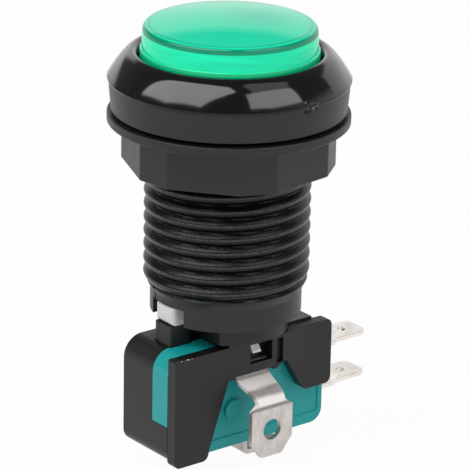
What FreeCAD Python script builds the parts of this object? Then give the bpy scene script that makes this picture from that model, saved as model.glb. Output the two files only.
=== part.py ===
"""Illuminated push button for a game cabinet, with its clamp nut, lamp holder and snap-action switch.

Millimetres, +Z up. The origin is on the button's axis, at the underside of the bezel, where the panel lies.
The switch hangs below, with its length along X, its tabs at +X and its cover facing -Y.
"""
import FreeCAD, Part
import math
import os

# How far a cutter passes the faces it opens, and how far joined pieces overlap
OVER = 1.0
OVERLAP = 0.1

# Bezel: a flared ring with a sharp shoulder, and a side that draws in to the panel
SHOULDER_R = 16.92
SHOULDER_Z = 4.34
SHOULDER_LIP = 0.22
SHOULDER_LIP_DROP = 0.34
BEZEL_DRAW = 0.34
BEZEL_FOOT_R = SHOULDER_R - SHOULDER_LIP - BEZEL_DRAW
OPENING_R = 12.7
OPENING_EDGE_Z = 7.51
CROWN_PULL_R = 13.64
CROWN_PULL_Z = 9.76
CROWN_RINGS = 4

# Barrel: a right-hand thread that runs out in a taper, and a plain skirt
THREAD_R = 11.7
THREAD_LENGTH = 24.1
TAPER_LENGTH = 2.1
THREAD_PITCH = 2.0
THREAD_DEPTH = 0.7
THREAD_MOUTH_SHARE = 0.7
THREAD_SIDES = 24
THREAD_RELIEF = 2.0
SKIRT_R = 10.68
SKIRT_LENGTH = 3.25
BORE_R = 9.35
NOTCH_WIDTH = 7.1
NOTCH_HEIGHT = 2.45
MOULD_GROOVE_WIDTH = 0.35
MOULD_GROOVE_DEPTH = 0.2
MOULD_GROOVE_Y = 2.7

# Clamp nut
NUT_GAP = 0.55
NUT_FLANGE_INSET = 0.02
NUT_FLANGE_R = SHOULDER_R - NUT_FLANGE_INSET
NUT_FLANGE_THICKNESS = 1.35
NUT_BODY_HEIGHT = 6.15
NUT_CORNER_R = 14.95
NUT_SIDES = 6
NUT_WIDE_FACE_DEG = 40.0
NUT_TURN_DEG = -101.6
NUT_CLEARANCE = 0.08

# Lens, a cap with a low dome, a rounded edge and a wider foot
LENS_CLEARANCE = 0.28
LENS_FOOT_HEIGHT = 1.9
LENS_FOOT_STEP = 0.16
LENS_DRAFT = 0.16
LENS_SIDE_HEIGHT = 4.2
LENS_EDGE_RISE = 1.05
LENS_EDGE_INSET = 0.8
LENS_EDGE_PULL = 0.1
LENS_DOME_RISE = 1.1
LENS_DOME_RINGS = 2
LENS_EDGE_RINGS = 2
LENS_WALL = 1.2

# Plunger: head, tube and two hooked legs, sliding in the bore
TRAVEL = 2.2
TRAVEL_SPARE = 0.1
HEAD_TOP_Z = 6.6
HEAD_THICKNESS = 1.4
HEAD_CLEARANCE = 0.4
SNAP_RING_HEIGHT = 1.2
SNAP_RING_CLEARANCE = 0.05
DIFFUSER_THICKNESS = 0.8
DIFFUSER_CLEARANCE = 0.2
TUBE_CLEARANCE = 0.2
TUBE_WALL = 1.55
TUBE_LENGTH = 17.2
SPRING_SEAT_BELOW_HEAD = 7.2
SPRING_SEAT_WIDTH = 2.0
LEG_CLEARANCE = 0.1
LEG_THICKNESS = 1.5
LEG_WIDTH = 3.9
FOOT_HEIGHT = 2.65
FOOT_TOP_GAP = 0.05
FOOT_PROUD = 0.32
FOOT_ROUND = 0.9

# Shelf in the barrel that carries the return spring
SHELF_TOP_DEPTH = 18.6
SHELF_THICKNESS = 1.4
SHELF_HOLE_R = 5.4
SHELF_SLOT_CLEARANCE = 0.2
SPRING_WIRE = 1.1
SPRING_COIL_R = 6.3
SPRING_TURNS = 5
SPRING_SIDES = 16
SPRING_END_GAP = 0.02

# Bayonet of the lamp holder
PLUG_CLEARANCE = 0.35
PLUG_TOP_GAP = 0.2
PLUG_FLAT = 6.1
LUG_WIDTH = 2.5
LUG_HEIGHT = 1.6
LUG_ABOVE_RIM = 2.0
LUG_PROUD = 0.9
LUG_CLEARANCE = 0.15
TWIST_DEG = 20.0

# Switch housing
CASE_LENGTH = 27.8
CASE_HEIGHT = 15.9
CASE_THICKNESS = 10.3
CASE_WALL = 1.45
CASE_SIDE_WALL = 1.25
CASE_TOP_ROUND = 3.0
CASE_BOTTOM_ROUND = 2.0
COVER_THICKNESS = 3.55
CORNER_BLOCK_LENGTH = 5.55
CORNER_BLOCK_HEIGHT = 5.6
HOLE_R = 1.55
HOLE_FROM_END = 2.85
HOLE_FROM_EDGE = 2.8
BOSS_WALL = 0.75
COVER_BOSS_R = 1.5
COVER_BOSS_PROUD = 0.3
COVER_RECESS_DEPTH = 0.2
COVER_RIM = 1.6
COVER_ROUND = 0.5
COVER_BOSS_FROM_END = 11.6
COVER_BOSS_FROM_EDGE = 5.6
SEAM = 0.04

# Switch button, under the feet's line
BUTTON_GAP = 0.05
BUTTON_PROUD = 3.0
BUTTON_LENGTH = 3.5
BUTTON_WIDTH = 3.8
BUTTON_FROM_END = 2.95
BUTTON_HOLE_CLEARANCE = 0.1
BUTTON_COLLAR = 0.5
BUTTON_COLLAR_HEIGHT = 0.9
BUTTON_EDGE_ROUND = 0.35
STEM_R = 0.8
STEM_WIDTH = 2.4

# Works of the switch
LEVER_THICKNESS = 0.5
LEVER_WIDTH = 3.0
LEVER_TIP_ROUND = 0.9
LEVER_BELOW_TOP = 8.1
LEVER_PIVOT_FROM_BUTTON = 12.45
LEVER_END_MARGIN = 1.2
LEVER_GAP = 0.05
CONTACT_ARM = 7.0
CONTACT_R = 1.2
CONTACT_HEAD = 0.35
CONTACT_CLOSED_GAP = 0.1
CONTACT_REST_GAP = 0.05
CONTACT_FIT = 0.03
NC_CONTACT_HEAD = 0.45
NO_CONTACT_HEAD = 0.25
KNIFE_GAP = 0.07
KNIFE_EDGE = 0.24
KNIFE_HEIGHT = 0.4
KNIFE_POST = 0.9
KNIFE_SLOPE = 0.9
EAR_CLEARANCE = 0.15
EAR_RISE = 0.6
LEAF_THICKNESS = 0.25
LEAF_WIDTH = 2.6
LEAF_ARM = 9.7
LEAF_FOOT = 6.5
LEAF_HEEL_FROM_PIVOT = 3.4
LEAF_BEND = 1.0
LEAF_GAP = 0.02

# Switch terminals
TAB_WIDTH = 4.8
TAB_THICKNESS = 0.6
TAB_REACH = 10.65
TAB_SPACING = 6.35
TAB_TIP_ROUND = 1.3
TAB_HOLE_R = 0.6
TAB_HOLE_FROM_TIP = 3.0
SHOULDER_REACH = 4.1
SHOULDER_WIDTH = 6.2
RISER_GAP = 0.1
CONTACT_PLATE_OVERHANG = 1.5
COMMON_THICKNESS = 0.75
COMMON_DROP = 3.65
COMMON_REACH = 7.4
COMMON_FROM_END = 16.125
COMMON_BEND_R = 0.7
TAB_BEND_R = 0.5
SLOT_CLEARANCE = 0.04

# Lamp holder: deck, plug and the side plates' outline as seen from the front
DECK_GAP = 0.05
DECK_THICKNESS = 0.65
DECK_OVERHANG_LEFT = 8.35
DECK_OVERHANG_RIGHT = 2.4
PLATE_GAP = 0.1
PLATE_THICKNESS = 1.7
PLATE_SKIN = 0.85
PEG_LENGTH = 2.0
PEG_CLEARANCE = 0.1
PLATE_ROUND = 1.0
PLATE_SMALL_ROUND = 0.3
PLATE_OVER_DECK = 0.05
LEFT_WING_BELOW_CASE = 0.15
LEFT_WING_WIDTH = 5.75
LEFT_WING_LEAN = 0.5
LEFT_WING_LEAN_HEIGHT = 2.0
RIGHT_WING_UNDER_DECK = 0.3
RIGHT_WING_BELOW_HOLE = 6.65
RIGHT_WING_WIDTH = 8.05
RIGHT_WING_LOW_WIDTH = 4.85
RIGHT_WING_TOP_WIDTH = 7.45
BLOCK_HEIGHT = 5.0
BLOCK_LEFT = 4.6
BLOCK_RIGHT = 3.95
BLOCK_CORNER_RUN = 1.25
BLOCK_CORNER_RISE = 0.8
LAMP_SLOT_FLOOR_DEPTH = 1.5
POST_WIDTH = 0.85
GROOVE_WIDTH = 1.1
GROOVE_DEPTH = 0.6
GROOVE_TOP = 0.5
WINDOW_LEFT = 0.85
WINDOW_RIGHT = 3.05
WINDOW_TOP = 0.4
WINDOW_HEIGHT = 2.9

# Lamp
LAMP_WIDTH = 9.5
LAMP_THICKNESS = 2.5
LAMP_SLOT_CLEARANCE = 0.2
LAMP_COLLAR_R = 4.75
LAMP_COLLAR_HEIGHT = 3.0
LAMP_COLLAR_GAP = 0.1
LED_R = 2.5
LED_HEIGHT = 7.5
LEAD_SIZE = 0.4
LEAD_X = 2.2
LED_SHOULDER = 1.1

# Lamp terminals
BLADE_THICKNESS = 0.75
BLADE_INNER_WIDTH = 4.7
BLADE_POCKET_WIDTH = 6.1
BLADE_PLATE_WIDTH = 7.2
BLADE_PLATE_OUT = 3.8
BLADE_PLATE_TOP = 3.7
BLADE_LENGTH = 10.9
BLADE_TAPER_LENGTH = 2.3
BLADE_TIP_WIDTH = 3.6
BLADE_HOLE_ABOVE_TIP = 4.0
BLADE_HOLE_R = 1.55
BLADE_BEND_R = 0.8
BLADE_WIDE_BEND_R = 1.6
BLADE_BULGE_GAP = 0.02
BLADE_SET_BACK = 0.8
BLADE_TOP_GAP = 0.8
BLADE_ARCH = 2.4
BLADE_KNEE_ABOVE_FLOOR = 1.6
BLADE_KNEE_ABOVE_DECK = 0.4
BLADE_EXIT = 0.5
BLADE_SLOPE_END = 1.3
BLADE_NECK_RUN = 2.2
BLADE_NECK_ROUND = 1.5
BLADE_SHOULDER = 0.8
BLADE_POCKET_CLEARANCE = 0.25
CHANNEL_HEIGHT = 2.2
CHANNEL_INSET = 0.4
SKIN_NOTCH = 0.35
TONGUE_WIDTH = 1.5
TONGUE_HEIGHT = 1.1
TONGUE_LEAN = 0.68
TONGUE_BELOW_WINDOW = 0.35
TONGUE_CENTRE_X = 0.5
TONGUE_SIDE_GAP = 0.1

# Heights along the axis
RIM_Z = -(THREAD_LENGTH + TAPER_LENGTH + SKIRT_LENGTH)
NOTCH_TOP_Z = RIM_Z + NOTCH_HEIGHT
FOOT_TOP_Z = NOTCH_TOP_Z - FOOT_TOP_GAP
FOOT_Z = FOOT_TOP_Z - FOOT_HEIGHT
HEAD_Z = HEAD_TOP_Z - HEAD_THICKNESS
CHAMBER_FLOOR_Z = HEAD_Z - TRAVEL - TRAVEL_SPARE
SPRING_SEAT_Z = HEAD_Z - SPRING_SEAT_BELOW_HEAD
TUBE_Z = HEAD_Z - TUBE_LENGTH
SHELF_TOP_Z = -SHELF_TOP_DEPTH
SHELF_Z = SHELF_TOP_Z - SHELF_THICKNESS
PLUG_TOP_Z = SHELF_Z - PLUG_TOP_GAP
LUG_Z = RIM_Z + LUG_ABOVE_RIM
BUTTON_TOP_Z = FOOT_Z - BUTTON_GAP
CASE_TOP_Z = BUTTON_TOP_Z - BUTTON_PROUD
CASE_Z = CASE_TOP_Z - CASE_HEIGHT
DECK_Z = CASE_TOP_Z + DECK_GAP
DECK_TOP_Z = DECK_Z + DECK_THICKNESS
CAVITY_TOP_Z = CASE_TOP_Z - CASE_WALL
CAVITY_Z = CASE_Z + CASE_WALL
LEVER_TOP_Z = CASE_TOP_Z - LEVER_BELOW_TOP
LEVER_Z = LEVER_TOP_Z - LEVER_THICKNESS
PIVOT_Z = LEVER_TOP_Z - LEVER_THICKNESS / 2
LEVER_TURN = math.atan(TRAVEL / LEVER_PIVOT_FROM_BUTTON)
NC_FACE_Z = LEVER_Z - CONTACT_HEAD - CONTACT_REST_GAP
NO_FACE_Z = (
    LEVER_TOP_Z + CONTACT_HEAD + (CONTACT_ARM + CONTACT_R) * math.sin(LEVER_TURN) + CONTACT_CLOSED_GAP
)
TAB_UPPER_Z = NO_FACE_Z + NO_CONTACT_HEAD + TAB_THICKNESS / 2
TAB_LOWER_Z = TAB_UPPER_Z - TAB_SPACING
LAMP_FLOOR_Z = DECK_Z + LAMP_SLOT_FLOOR_DEPTH
BLOCK_Z = DECK_Z - BLOCK_HEIGHT
WINDOW_TOP_Z = DECK_Z - WINDOW_TOP
WINDOW_Z = WINDOW_TOP_Z - WINDOW_HEIGHT

# Radii
HEAD_R = OPENING_R - HEAD_CLEARANCE
LENS_FOOT_R = OPENING_R - LENS_CLEARANCE
LENS_SIDE_R = LENS_FOOT_R - LENS_FOOT_STEP
LENS_INNER_R = LENS_SIDE_R - LENS_DRAFT - LENS_WALL
SNAP_RING_R = LENS_INNER_R - SNAP_RING_CLEARANCE
TUBE_R = BORE_R - TUBE_CLEARANCE
TUBE_INNER_R = TUBE_R - TUBE_WALL
LEG_R = BORE_R - LEG_CLEARANCE
LEG_INNER_X = LEG_R - LEG_THICKNESS
PLUG_R = BORE_R - PLUG_CLEARANCE
FOOT_X = SKIRT_R + FOOT_PROUD

# Places along the switch
CASE_X0 = -FOOT_X - BUTTON_FROM_END
CASE_X1 = CASE_X0 + CASE_LENGTH
CASE_Y = CASE_THICKNESS / 2
SPLIT_Y = COVER_THICKNESS - CASE_Y
CAVITY_X0 = CASE_X0 + CASE_WALL
CAVITY_X1 = CASE_X1 - CASE_SIDE_WALL
CAVITY_Y = CASE_Y - CASE_SIDE_WALL
HOLE_LOW = (CASE_X0 + HOLE_FROM_END, CASE_Z + HOLE_FROM_EDGE)
HOLE_HIGH = (CASE_X1 - HOLE_FROM_END, CASE_TOP_Z - HOLE_FROM_EDGE)
BOSS_R = HOLE_R + BOSS_WALL
BLOCK_X1 = CASE_X0 + CORNER_BLOCK_LENGTH
CORNER_BLOCK_Z = CASE_Z + CORNER_BLOCK_HEIGHT
BUTTON_X1 = -FOOT_X + BUTTON_LENGTH
STEM_X = -FOOT_X + BUTTON_LENGTH / 2
PIVOT_X = STEM_X + LEVER_PIVOT_FROM_BUTTON
CONTACT_X = PIVOT_X + CONTACT_ARM
COMMON_X = CASE_X0 + COMMON_FROM_END
RISER_X = CAVITY_X1 - RISER_GAP
TAB_TIP_X = CASE_X1 + TAB_REACH

# Places across the switch
PLATE_IN_Y = CASE_Y + PLATE_GAP
PLATE_OUT_Y = PLATE_IN_Y + PLATE_THICKNESS
POCKET_Y = PLATE_OUT_Y - PLATE_SKIN
LAMP_SLOT_Y = LAMP_THICKNESS / 2 + LAMP_SLOT_CLEARANCE
LAMP_Z = LAMP_FLOOR_Z + 1.5 * LEAD_SIZE
LAMP_TOP_Z = PLUG_TOP_Z + LAMP_COLLAR_GAP + LAMP_COLLAR_HEIGHT
LEAD_FACE_Y = LAMP_THICKNESS / 2 + LEAD_SIZE
BULGE_Y = LEAD_FACE_Y + BLADE_BULGE_GAP + BLADE_THICKNESS / 2
FINGER_Y = BULGE_Y + BLADE_SET_BACK
BLADE_POCKET_Y = POCKET_Y - (POCKET_Y - PLATE_IN_Y) / 2
BLADE_PLATE_Y = PLATE_OUT_Y + BLADE_PLATE_OUT


def vec(x, y, z):
    return FreeCAD.Vector(x, y, z)


def in_xy(z):
    """Places an outline's (u, v) in the level plane at this height."""
    return lambda u, v: vec(u, v, z)


def in_xz(y):
    """Places an outline's (u, v) in the upright plane along X, at this y."""
    return lambda u, v: vec(u, y, v)


def in_yz(x):
    """Places an outline's (u, v) in the upright plane along Y, at this x."""
    return lambda u, v: vec(x, u, v)


def box(x, y, z):
    """A block between the two values of each axis."""
    return Part.makeBox(x[1] - x[0], y[1] - y[0], z[1] - z[0], vec(x[0], y[0], z[0]))


def rod(radius, z0, z1, x=0.0, y=0.0):
    return Part.makeCylinder(radius, z1 - z0, vec(x, y, z0))


def cross_rod(radius, x, z, y0, y1):
    """A cylinder along Y."""
    return Part.makeCylinder(radius, y1 - y0, vec(x, y0, z), vec(0, 1, 0))


def turned(edges):
    """A solid of revolution about Z from a closed outline in the XZ plane."""
    return Part.Face(Part.Wire(edges)).revolve(vec(0, 0, 0), vec(0, 0, 1), 360)


def straight_edges(points):
    """Edges through (r, z) points in the XZ plane."""
    places = [vec(r, 0, z) for r, z in points]
    return [Part.makeLine(a, b) for a, b in zip(places, places[1:])]


def turned_points(points):
    return turned(straight_edges(points + points[:1]))


def rounded_wire(corners, place):
    """A closed wire through corners given as (u, v) or (u, v, radius)."""
    starts = []
    ends = []
    arcs = []
    count = len(corners)
    for index, corner in enumerate(corners):
        before = corners[index - 1]
        after = corners[(index + 1) % count]
        radius = corner[2] if len(corner) > 2 else 0.0
        here = vec(corner[0], corner[1], 0)
        back = (vec(before[0], before[1], 0) - here).normalize()
        ahead = (vec(after[0], after[1], 0) - here).normalize()
        if radius <= 0.0:
            starts.append(here)
            ends.append(here)
            arcs.append(None)
            continue
        half = back.getAngle(ahead) / 2
        run = radius / math.tan(half)
        middle_way = (back + ahead).normalize()
        middle = here + middle_way * (radius / math.sin(half) - radius)
        starts.append(here + back * run)
        ends.append(here + ahead * run)
        arcs.append(middle)
    edges = []
    for index in range(count):
        if arcs[index] is not None:
            curve = Part.Arc(
                place(starts[index].x, starts[index].y),
                place(arcs[index].x, arcs[index].y),
                place(ends[index].x, ends[index].y),
            )
            edges.append(curve.toShape())
        following = (index + 1) % count
        if (starts[following] - ends[index]).Length > 1e-6:
            edges.append(
                Part.makeLine(
                    place(ends[index].x, ends[index].y),
                    place(starts[following].x, starts[following].y),
                )
            )
    return Part.Wire(edges)


def plate_xz(corners, y0, y1):
    """A plate of this outline, from y0 to y1."""
    return Part.Face(rounded_wire(corners, in_xz(y0))).extrude(vec(0, y1 - y0, 0))


def sheet_corners(path, thickness, bend):
    """Outline of a sheet of even thickness bent along a path of (u, v) or (u, v, bend) points."""
    points = [vec(corner[0], corner[1], 0) for corner in path]
    bends = [corner[2] if len(corner) > 2 else bend for corner in path]
    ways = [(b - a).normalize() for a, b in zip(points, points[1:])]
    half = thickness / 2
    sides = ([], [])
    for index, point in enumerate(points):
        first = ways[max(index - 1, 0)]
        second = ways[min(index, len(ways) - 1)]
        turn = first.x * second.y - first.y * second.x
        for side, sign in zip(sides, (1, -1)):
            normal_a = vec(-first.y, first.x, 0) * sign
            normal_b = vec(-second.y, second.x, 0) * sign
            offset = (normal_a + normal_b) * (half / (1 + normal_a.dot(normal_b)))
            place = point + offset
            radius = 0.0
            if abs(turn) > 1e-6:
                inside = turn * sign > 0
                radius = bends[index] - half if inside else bends[index] + half
            side.append((place.x, place.y, radius))
    return sides[0] + sides[1][::-1]


def sheet_xz(path, thickness, bend, half_width):
    """A bent sheet whose section lies in the XZ plane."""
    wire = rounded_wire(sheet_corners(path, thickness, bend), in_xz(-half_width))
    return Part.Face(wire).extrude(vec(0, 2 * half_width, 0))


def sheet_yz(path, thickness, bend, half_width):
    """A bent sheet whose section lies in the YZ plane."""
    wire = rounded_wire(sheet_corners(path, thickness, bend), in_yz(-half_width))
    return Part.Face(wire).extrude(vec(2 * half_width, 0, 0))


def turned_half(shape):
    """The same shape on the opposite side of the axis."""
    copy = shape.copy()
    copy.rotate(vec(0, 0, 0), vec(0, 0, 1), 180)
    return copy


def fuse(shapes):
    whole = shapes[0].multiFuse(shapes[1:]) if len(shapes) > 1 else shapes[0]
    return whole.removeSplitter()


def along(curve, rings):
    """Points (r, z) that divide a curve in the XZ plane into rings, from its start to its end."""
    first, last = curve.FirstParameter, curve.LastParameter
    places = [curve.value(first + (last - first) * step / rings) for step in range(rings + 1)]
    return [(place.x, place.z) for place in places]


# Bezel, threaded barrel and skirt
def button_body():
    taper_end = -THREAD_LENGTH - TAPER_LENGTH
    outside = fuse([bezel(), threaded_barrel(), rod(SKIRT_R, RIM_Z, taper_end)])
    return outside.cut([bore()] + body_cuts())


def bezel():
    crown = Part.BezierCurve()
    crown.setPoles([
        vec(OPENING_R, 0, OPENING_EDGE_Z),
        vec(CROWN_PULL_R, 0, CROWN_PULL_Z),
        vec(SHOULDER_R, 0, SHOULDER_Z),
    ])
    return turned_points(along(crown, CROWN_RINGS) + [
        (SHOULDER_R - SHOULDER_LIP, SHOULDER_Z - SHOULDER_LIP_DROP),
        (BEZEL_FOOT_R, 0.0),
        (BORE_R, 0.0),
        (BORE_R, OPENING_EDGE_Z),
    ])


def bore():
    """What is taken out inside: the lens's opening, and the bore with the shelf left standing."""
    return turned_points([
        (0.0, OPENING_EDGE_Z + OVER),
        (0.0, RIM_Z - OVER),
        (BORE_R, RIM_Z - OVER),
        (BORE_R, SHELF_Z),
        (SHELF_HOLE_R, SHELF_Z),
        (SHELF_HOLE_R, SHELF_TOP_Z),
        (BORE_R, SHELF_TOP_Z),
        (BORE_R, CHAMBER_FLOOR_Z),
        (OPENING_R, CHAMBER_FLOOR_Z),
        (OPENING_R, OPENING_EDGE_Z + OVER),
    ])


def thread_corner(radius, z, step):
    """The place of a corner of the thread's flat-sided turns."""
    angle = 2 * math.pi * step / THREAD_SIDES
    return vec(radius * math.cos(angle), radius * math.sin(angle), z)


def thread_outline(radius, z):
    return Part.makePolygon([thread_corner(radius, z, step) for step in range(THREAD_SIDES + 1)])


def threaded_barrel():
    """The barrel with one groove wound round it, in flats that keep the thread light."""
    foot = -THREAD_LENGTH
    taper_end = foot - TAPER_LENGTH
    straight = Part.Face(thread_outline(THREAD_R, foot)).extrude(vec(0, 0, THREAD_LENGTH))
    taper = Part.makeLoft([thread_outline(SKIRT_R, taper_end), thread_outline(THREAD_R, foot)], True, True)
    turns = math.floor((THREAD_LENGTH + TAPER_LENGTH - THREAD_RELIEF) / THREAD_PITCH)
    low = -THREAD_RELIEF - turns * THREAD_PITCH
    path = [
        thread_corner(THREAD_R, low + THREAD_PITCH * step / THREAD_SIDES, step)
        for step in range(turns * THREAD_SIDES + 1)
    ]
    half_mouth = THREAD_PITCH * THREAD_MOUTH_SHARE / 2 * (1 + OVERLAP / THREAD_DEPTH)
    section = [
        (THREAD_R + OVERLAP, low - half_mouth),
        (THREAD_R + OVERLAP, low + half_mouth),
        (THREAD_R - THREAD_DEPTH, low),
    ]
    profile = Part.Wire(straight_edges(section + section[:1]))
    groove = Part.makePolygon(path).makePipeShell([profile], True, True, 1)
    return fuse([straight, taper]).cut(groove)


def body_cuts():
    """Leg slots in the shelf, skirt notches, bayonet grooves and the mould's mark."""
    cuts = []
    slot_half = LEG_WIDTH / 2 + SHELF_SLOT_CLEARANCE
    reach = SHOULDER_R
    notch_half = NOTCH_WIDTH / 2
    lug_z = (LUG_Z - LUG_CLEARANCE, LUG_Z + LUG_HEIGHT + LUG_CLEARANCE)
    lug_r = PLUG_R + LUG_PROUD + LUG_CLEARANCE
    wall = rod(lug_r, RIM_Z - OVER, lug_z[1]).cut(rod(PLUG_R, RIM_Z - OVER, lug_z[1]))
    lug_half = LUG_WIDTH / 2 + LUG_CLEARANCE
    half_angle = math.degrees(math.asin(lug_half / PLUG_R))
    for side in (0, 180):
        slot = box(
            (LEG_INNER_X - SHELF_SLOT_CLEARANCE, BORE_R),
            (-slot_half, slot_half),
            (SHELF_Z - OVER, SHELF_TOP_Z + OVER),
        )
        slot = slot.common(rod(BORE_R, SHELF_Z - OVER, SHELF_TOP_Z + OVER))
        notch = box((LEG_INNER_X, reach), (-notch_half, notch_half), (RIM_Z - OVER, NOTCH_TOP_Z))
        seat = Part.makeCylinder(
            lug_r, lug_z[1] - lug_z[0], vec(0, 0, lug_z[0]), vec(0, 0, 1), 2 * half_angle + TWIST_DEG
        )
        seat.rotate(vec(0, 0, 0), vec(0, 0, 1), 90 - half_angle)
        entry = Part.makeCylinder(
            lug_r, lug_z[1] - RIM_Z + OVER, vec(0, 0, RIM_Z - OVER), vec(0, 0, 1), 2 * half_angle
        )
        entry.rotate(vec(0, 0, 0), vec(0, 0, 1), 90 - half_angle + TWIST_DEG)
        for cutter in (slot, notch, seat.common(wall), entry.common(wall)):
            cutter.rotate(vec(0, 0, 0), vec(0, 0, 1), side)
            cuts.append(cutter)
    groove_y = (MOULD_GROOVE_Y - MOULD_GROOVE_WIDTH / 2, MOULD_GROOVE_Y + MOULD_GROOVE_WIDTH / 2)
    inner = math.sqrt(SKIRT_R**2 - MOULD_GROOVE_Y**2) - MOULD_GROOVE_DEPTH
    cuts.append(box((-reach, -inner), groove_y, (NOTCH_TOP_Z, NOTCH_TOP_Z + TAPER_LENGTH)))
    return cuts


# Clamp nut: a washer flange over a hexagon with its corners cut back
def clamp_nut():
    top = -NUT_GAP
    shoulder = top - NUT_FLANGE_THICKNESS
    bottom = shoulder - NUT_BODY_HEIGHT
    corners = []
    for face in range(NUT_SIDES):
        for step in (0.0, NUT_WIDE_FACE_DEG):
            angle = math.radians(NUT_TURN_DEG + 360 / NUT_SIDES * face + step)
            corners.append(vec(NUT_CORNER_R * math.cos(angle), NUT_CORNER_R * math.sin(angle), bottom))
    prism = Part.Face(Part.makePolygon(corners + corners[:1])).extrude(vec(0, 0, shoulder - bottom))
    nut = fuse([rod(NUT_FLANGE_R, shoulder, top), prism])
    return nut.cut(rod(THREAD_R + NUT_CLEARANCE, bottom - OVER, top + OVER))


# Lens: an open-bottomed cap with a low dome, snapped over the plunger's ring
def lens():
    foot = HEAD_TOP_Z
    side_top = foot + LENS_SIDE_HEIGHT
    side_r = LENS_SIDE_R - LENS_DRAFT
    edge_r = side_r - LENS_EDGE_INSET
    edge_z = side_top + LENS_EDGE_RISE
    apex = edge_z + LENS_DOME_RISE
    sphere_r = (edge_r**2 + LENS_DOME_RISE**2) / (2 * LENS_DOME_RISE)
    half_r = edge_r / 2
    half_z = apex - sphere_r + math.sqrt(sphere_r**2 - half_r**2)
    dome = Part.Arc(vec(0, 0, apex), vec(half_r, 0, half_z), vec(edge_r, 0, edge_z))
    edge = Part.BezierCurve()
    edge.setPoles([vec(edge_r, 0, edge_z), vec(side_r, 0, edge_z - LENS_EDGE_PULL), vec(side_r, 0, side_top)])
    return turned_points(
        along(dome, LENS_DOME_RINGS) + along(edge, LENS_EDGE_RINGS)[1:] + [
            (LENS_SIDE_R, foot + LENS_FOOT_HEIGHT + LENS_FOOT_STEP),
            (LENS_FOOT_R, foot + LENS_FOOT_HEIGHT),
            (LENS_FOOT_R, foot),
            (LENS_INNER_R, foot),
            (LENS_INNER_R, edge_z - LENS_WALL),
            (0.0, edge_z - LENS_WALL),
        ]
    )


# Diffuser: a plain disc on the plunger's ring, under the lens
def diffuser():
    seat = HEAD_TOP_Z + SNAP_RING_HEIGHT
    return rod(LENS_INNER_R - DIFFUSER_CLEARANCE, seat, seat + DIFFUSER_THICKNESS)


# Plunger: head, stepped tube whose step bears on the spring, and two legs with hooked feet
def plunger():
    seat_r = TUBE_INNER_R - SPRING_SEAT_WIDTH
    ring_top = HEAD_TOP_Z + SNAP_RING_HEIGHT
    shell = turned_points([
        (TUBE_INNER_R, TUBE_Z),
        (TUBE_R, TUBE_Z),
        (TUBE_R, HEAD_Z),
        (HEAD_R, HEAD_Z),
        (HEAD_R, HEAD_TOP_Z),
        (SNAP_RING_R, HEAD_TOP_Z),
        (SNAP_RING_R, ring_top),
        (seat_r, ring_top),
        (seat_r, SPRING_SEAT_Z),
        (TUBE_INNER_R, SPRING_SEAT_Z),
    ])
    half = LEG_WIDTH / 2
    leg = box((LEG_INNER_X, LEG_R), (-half, half), (FOOT_Z, TUBE_Z))
    leg = leg.common(rod(LEG_R, FOOT_Z, TUBE_Z))
    root_top = TUBE_Z + 2 * TUBE_WALL
    root = box((LEG_INNER_X, TUBE_R), (-half, half), (TUBE_Z, root_top))
    root = root.common(rod(TUBE_R, TUBE_Z, root_top))
    foot = box((LEG_INNER_X, FOOT_X), (-half, half), (FOOT_Z, FOOT_TOP_Z))
    outer = [
        edge for edge in foot.Edges
        if edge.CenterOfMass.x > FOOT_X - FOOT_PROUD and edge.CenterOfMass.z < FOOT_TOP_Z - FOOT_PROUD
    ]
    foot = foot.makeFillet(FOOT_ROUND, outer)
    side = fuse([leg, root, foot])
    return fuse([shell, side, turned_half(side)])


# Return spring: an open coil between the shelf and the plunger's step, with its ends ground flat
def return_spring():
    top = SPRING_SEAT_Z - SPRING_END_GAP
    half = SPRING_WIRE / 2
    steps = SPRING_TURNS * SPRING_SIDES
    rise = (top - SHELF_TOP_Z) / steps
    turns = []
    for step in range(steps + 1):
        angle = 2 * math.pi * step / SPRING_SIDES
        turns.append(
            vec(SPRING_COIL_R * math.cos(angle), SPRING_COIL_R * math.sin(angle), SHELF_TOP_Z + rise * step)
        )
    section = [(-half, -half), (half, -half), (half, half), (-half, half)]
    places = [vec(SPRING_COIL_R + r, 0, SHELF_TOP_Z + z) for r, z in section]
    profile = Part.makePolygon(places + places[:1])
    wire = Part.makePolygon(turns).makePipeShell([profile], True, True, 1)
    return wire.common(rod(SPRING_COIL_R + 2 * SPRING_WIRE, SHELF_TOP_Z, top))


# Lamp holder: bayonet plug, deck and two side plates with pegs, one moulding
def left_wing():
    """The front plate's left wing, from its top down to the middle block."""
    low = CASE_Z - LEFT_WING_BELOW_CASE
    return [
        (CASE_X0, DECK_Z + PLATE_OVER_DECK, PLATE_SMALL_ROUND),
        (CASE_X0, low, PLATE_ROUND),
        (CASE_X0 + LEFT_WING_WIDTH, low, PLATE_ROUND),
        (CASE_X0 + LEFT_WING_WIDTH + LEFT_WING_LEAN, low + LEFT_WING_LEAN_HEIGHT, 2 * PLATE_ROUND),
        (-BLOCK_LEFT, BLOCK_Z),
    ]


def block_end():
    """The left end of the middle block, where a plate has no left wing."""
    return [(-BLOCK_LEFT, DECK_Z + PLATE_OVER_DECK), (-BLOCK_LEFT, BLOCK_Z)]


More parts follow.
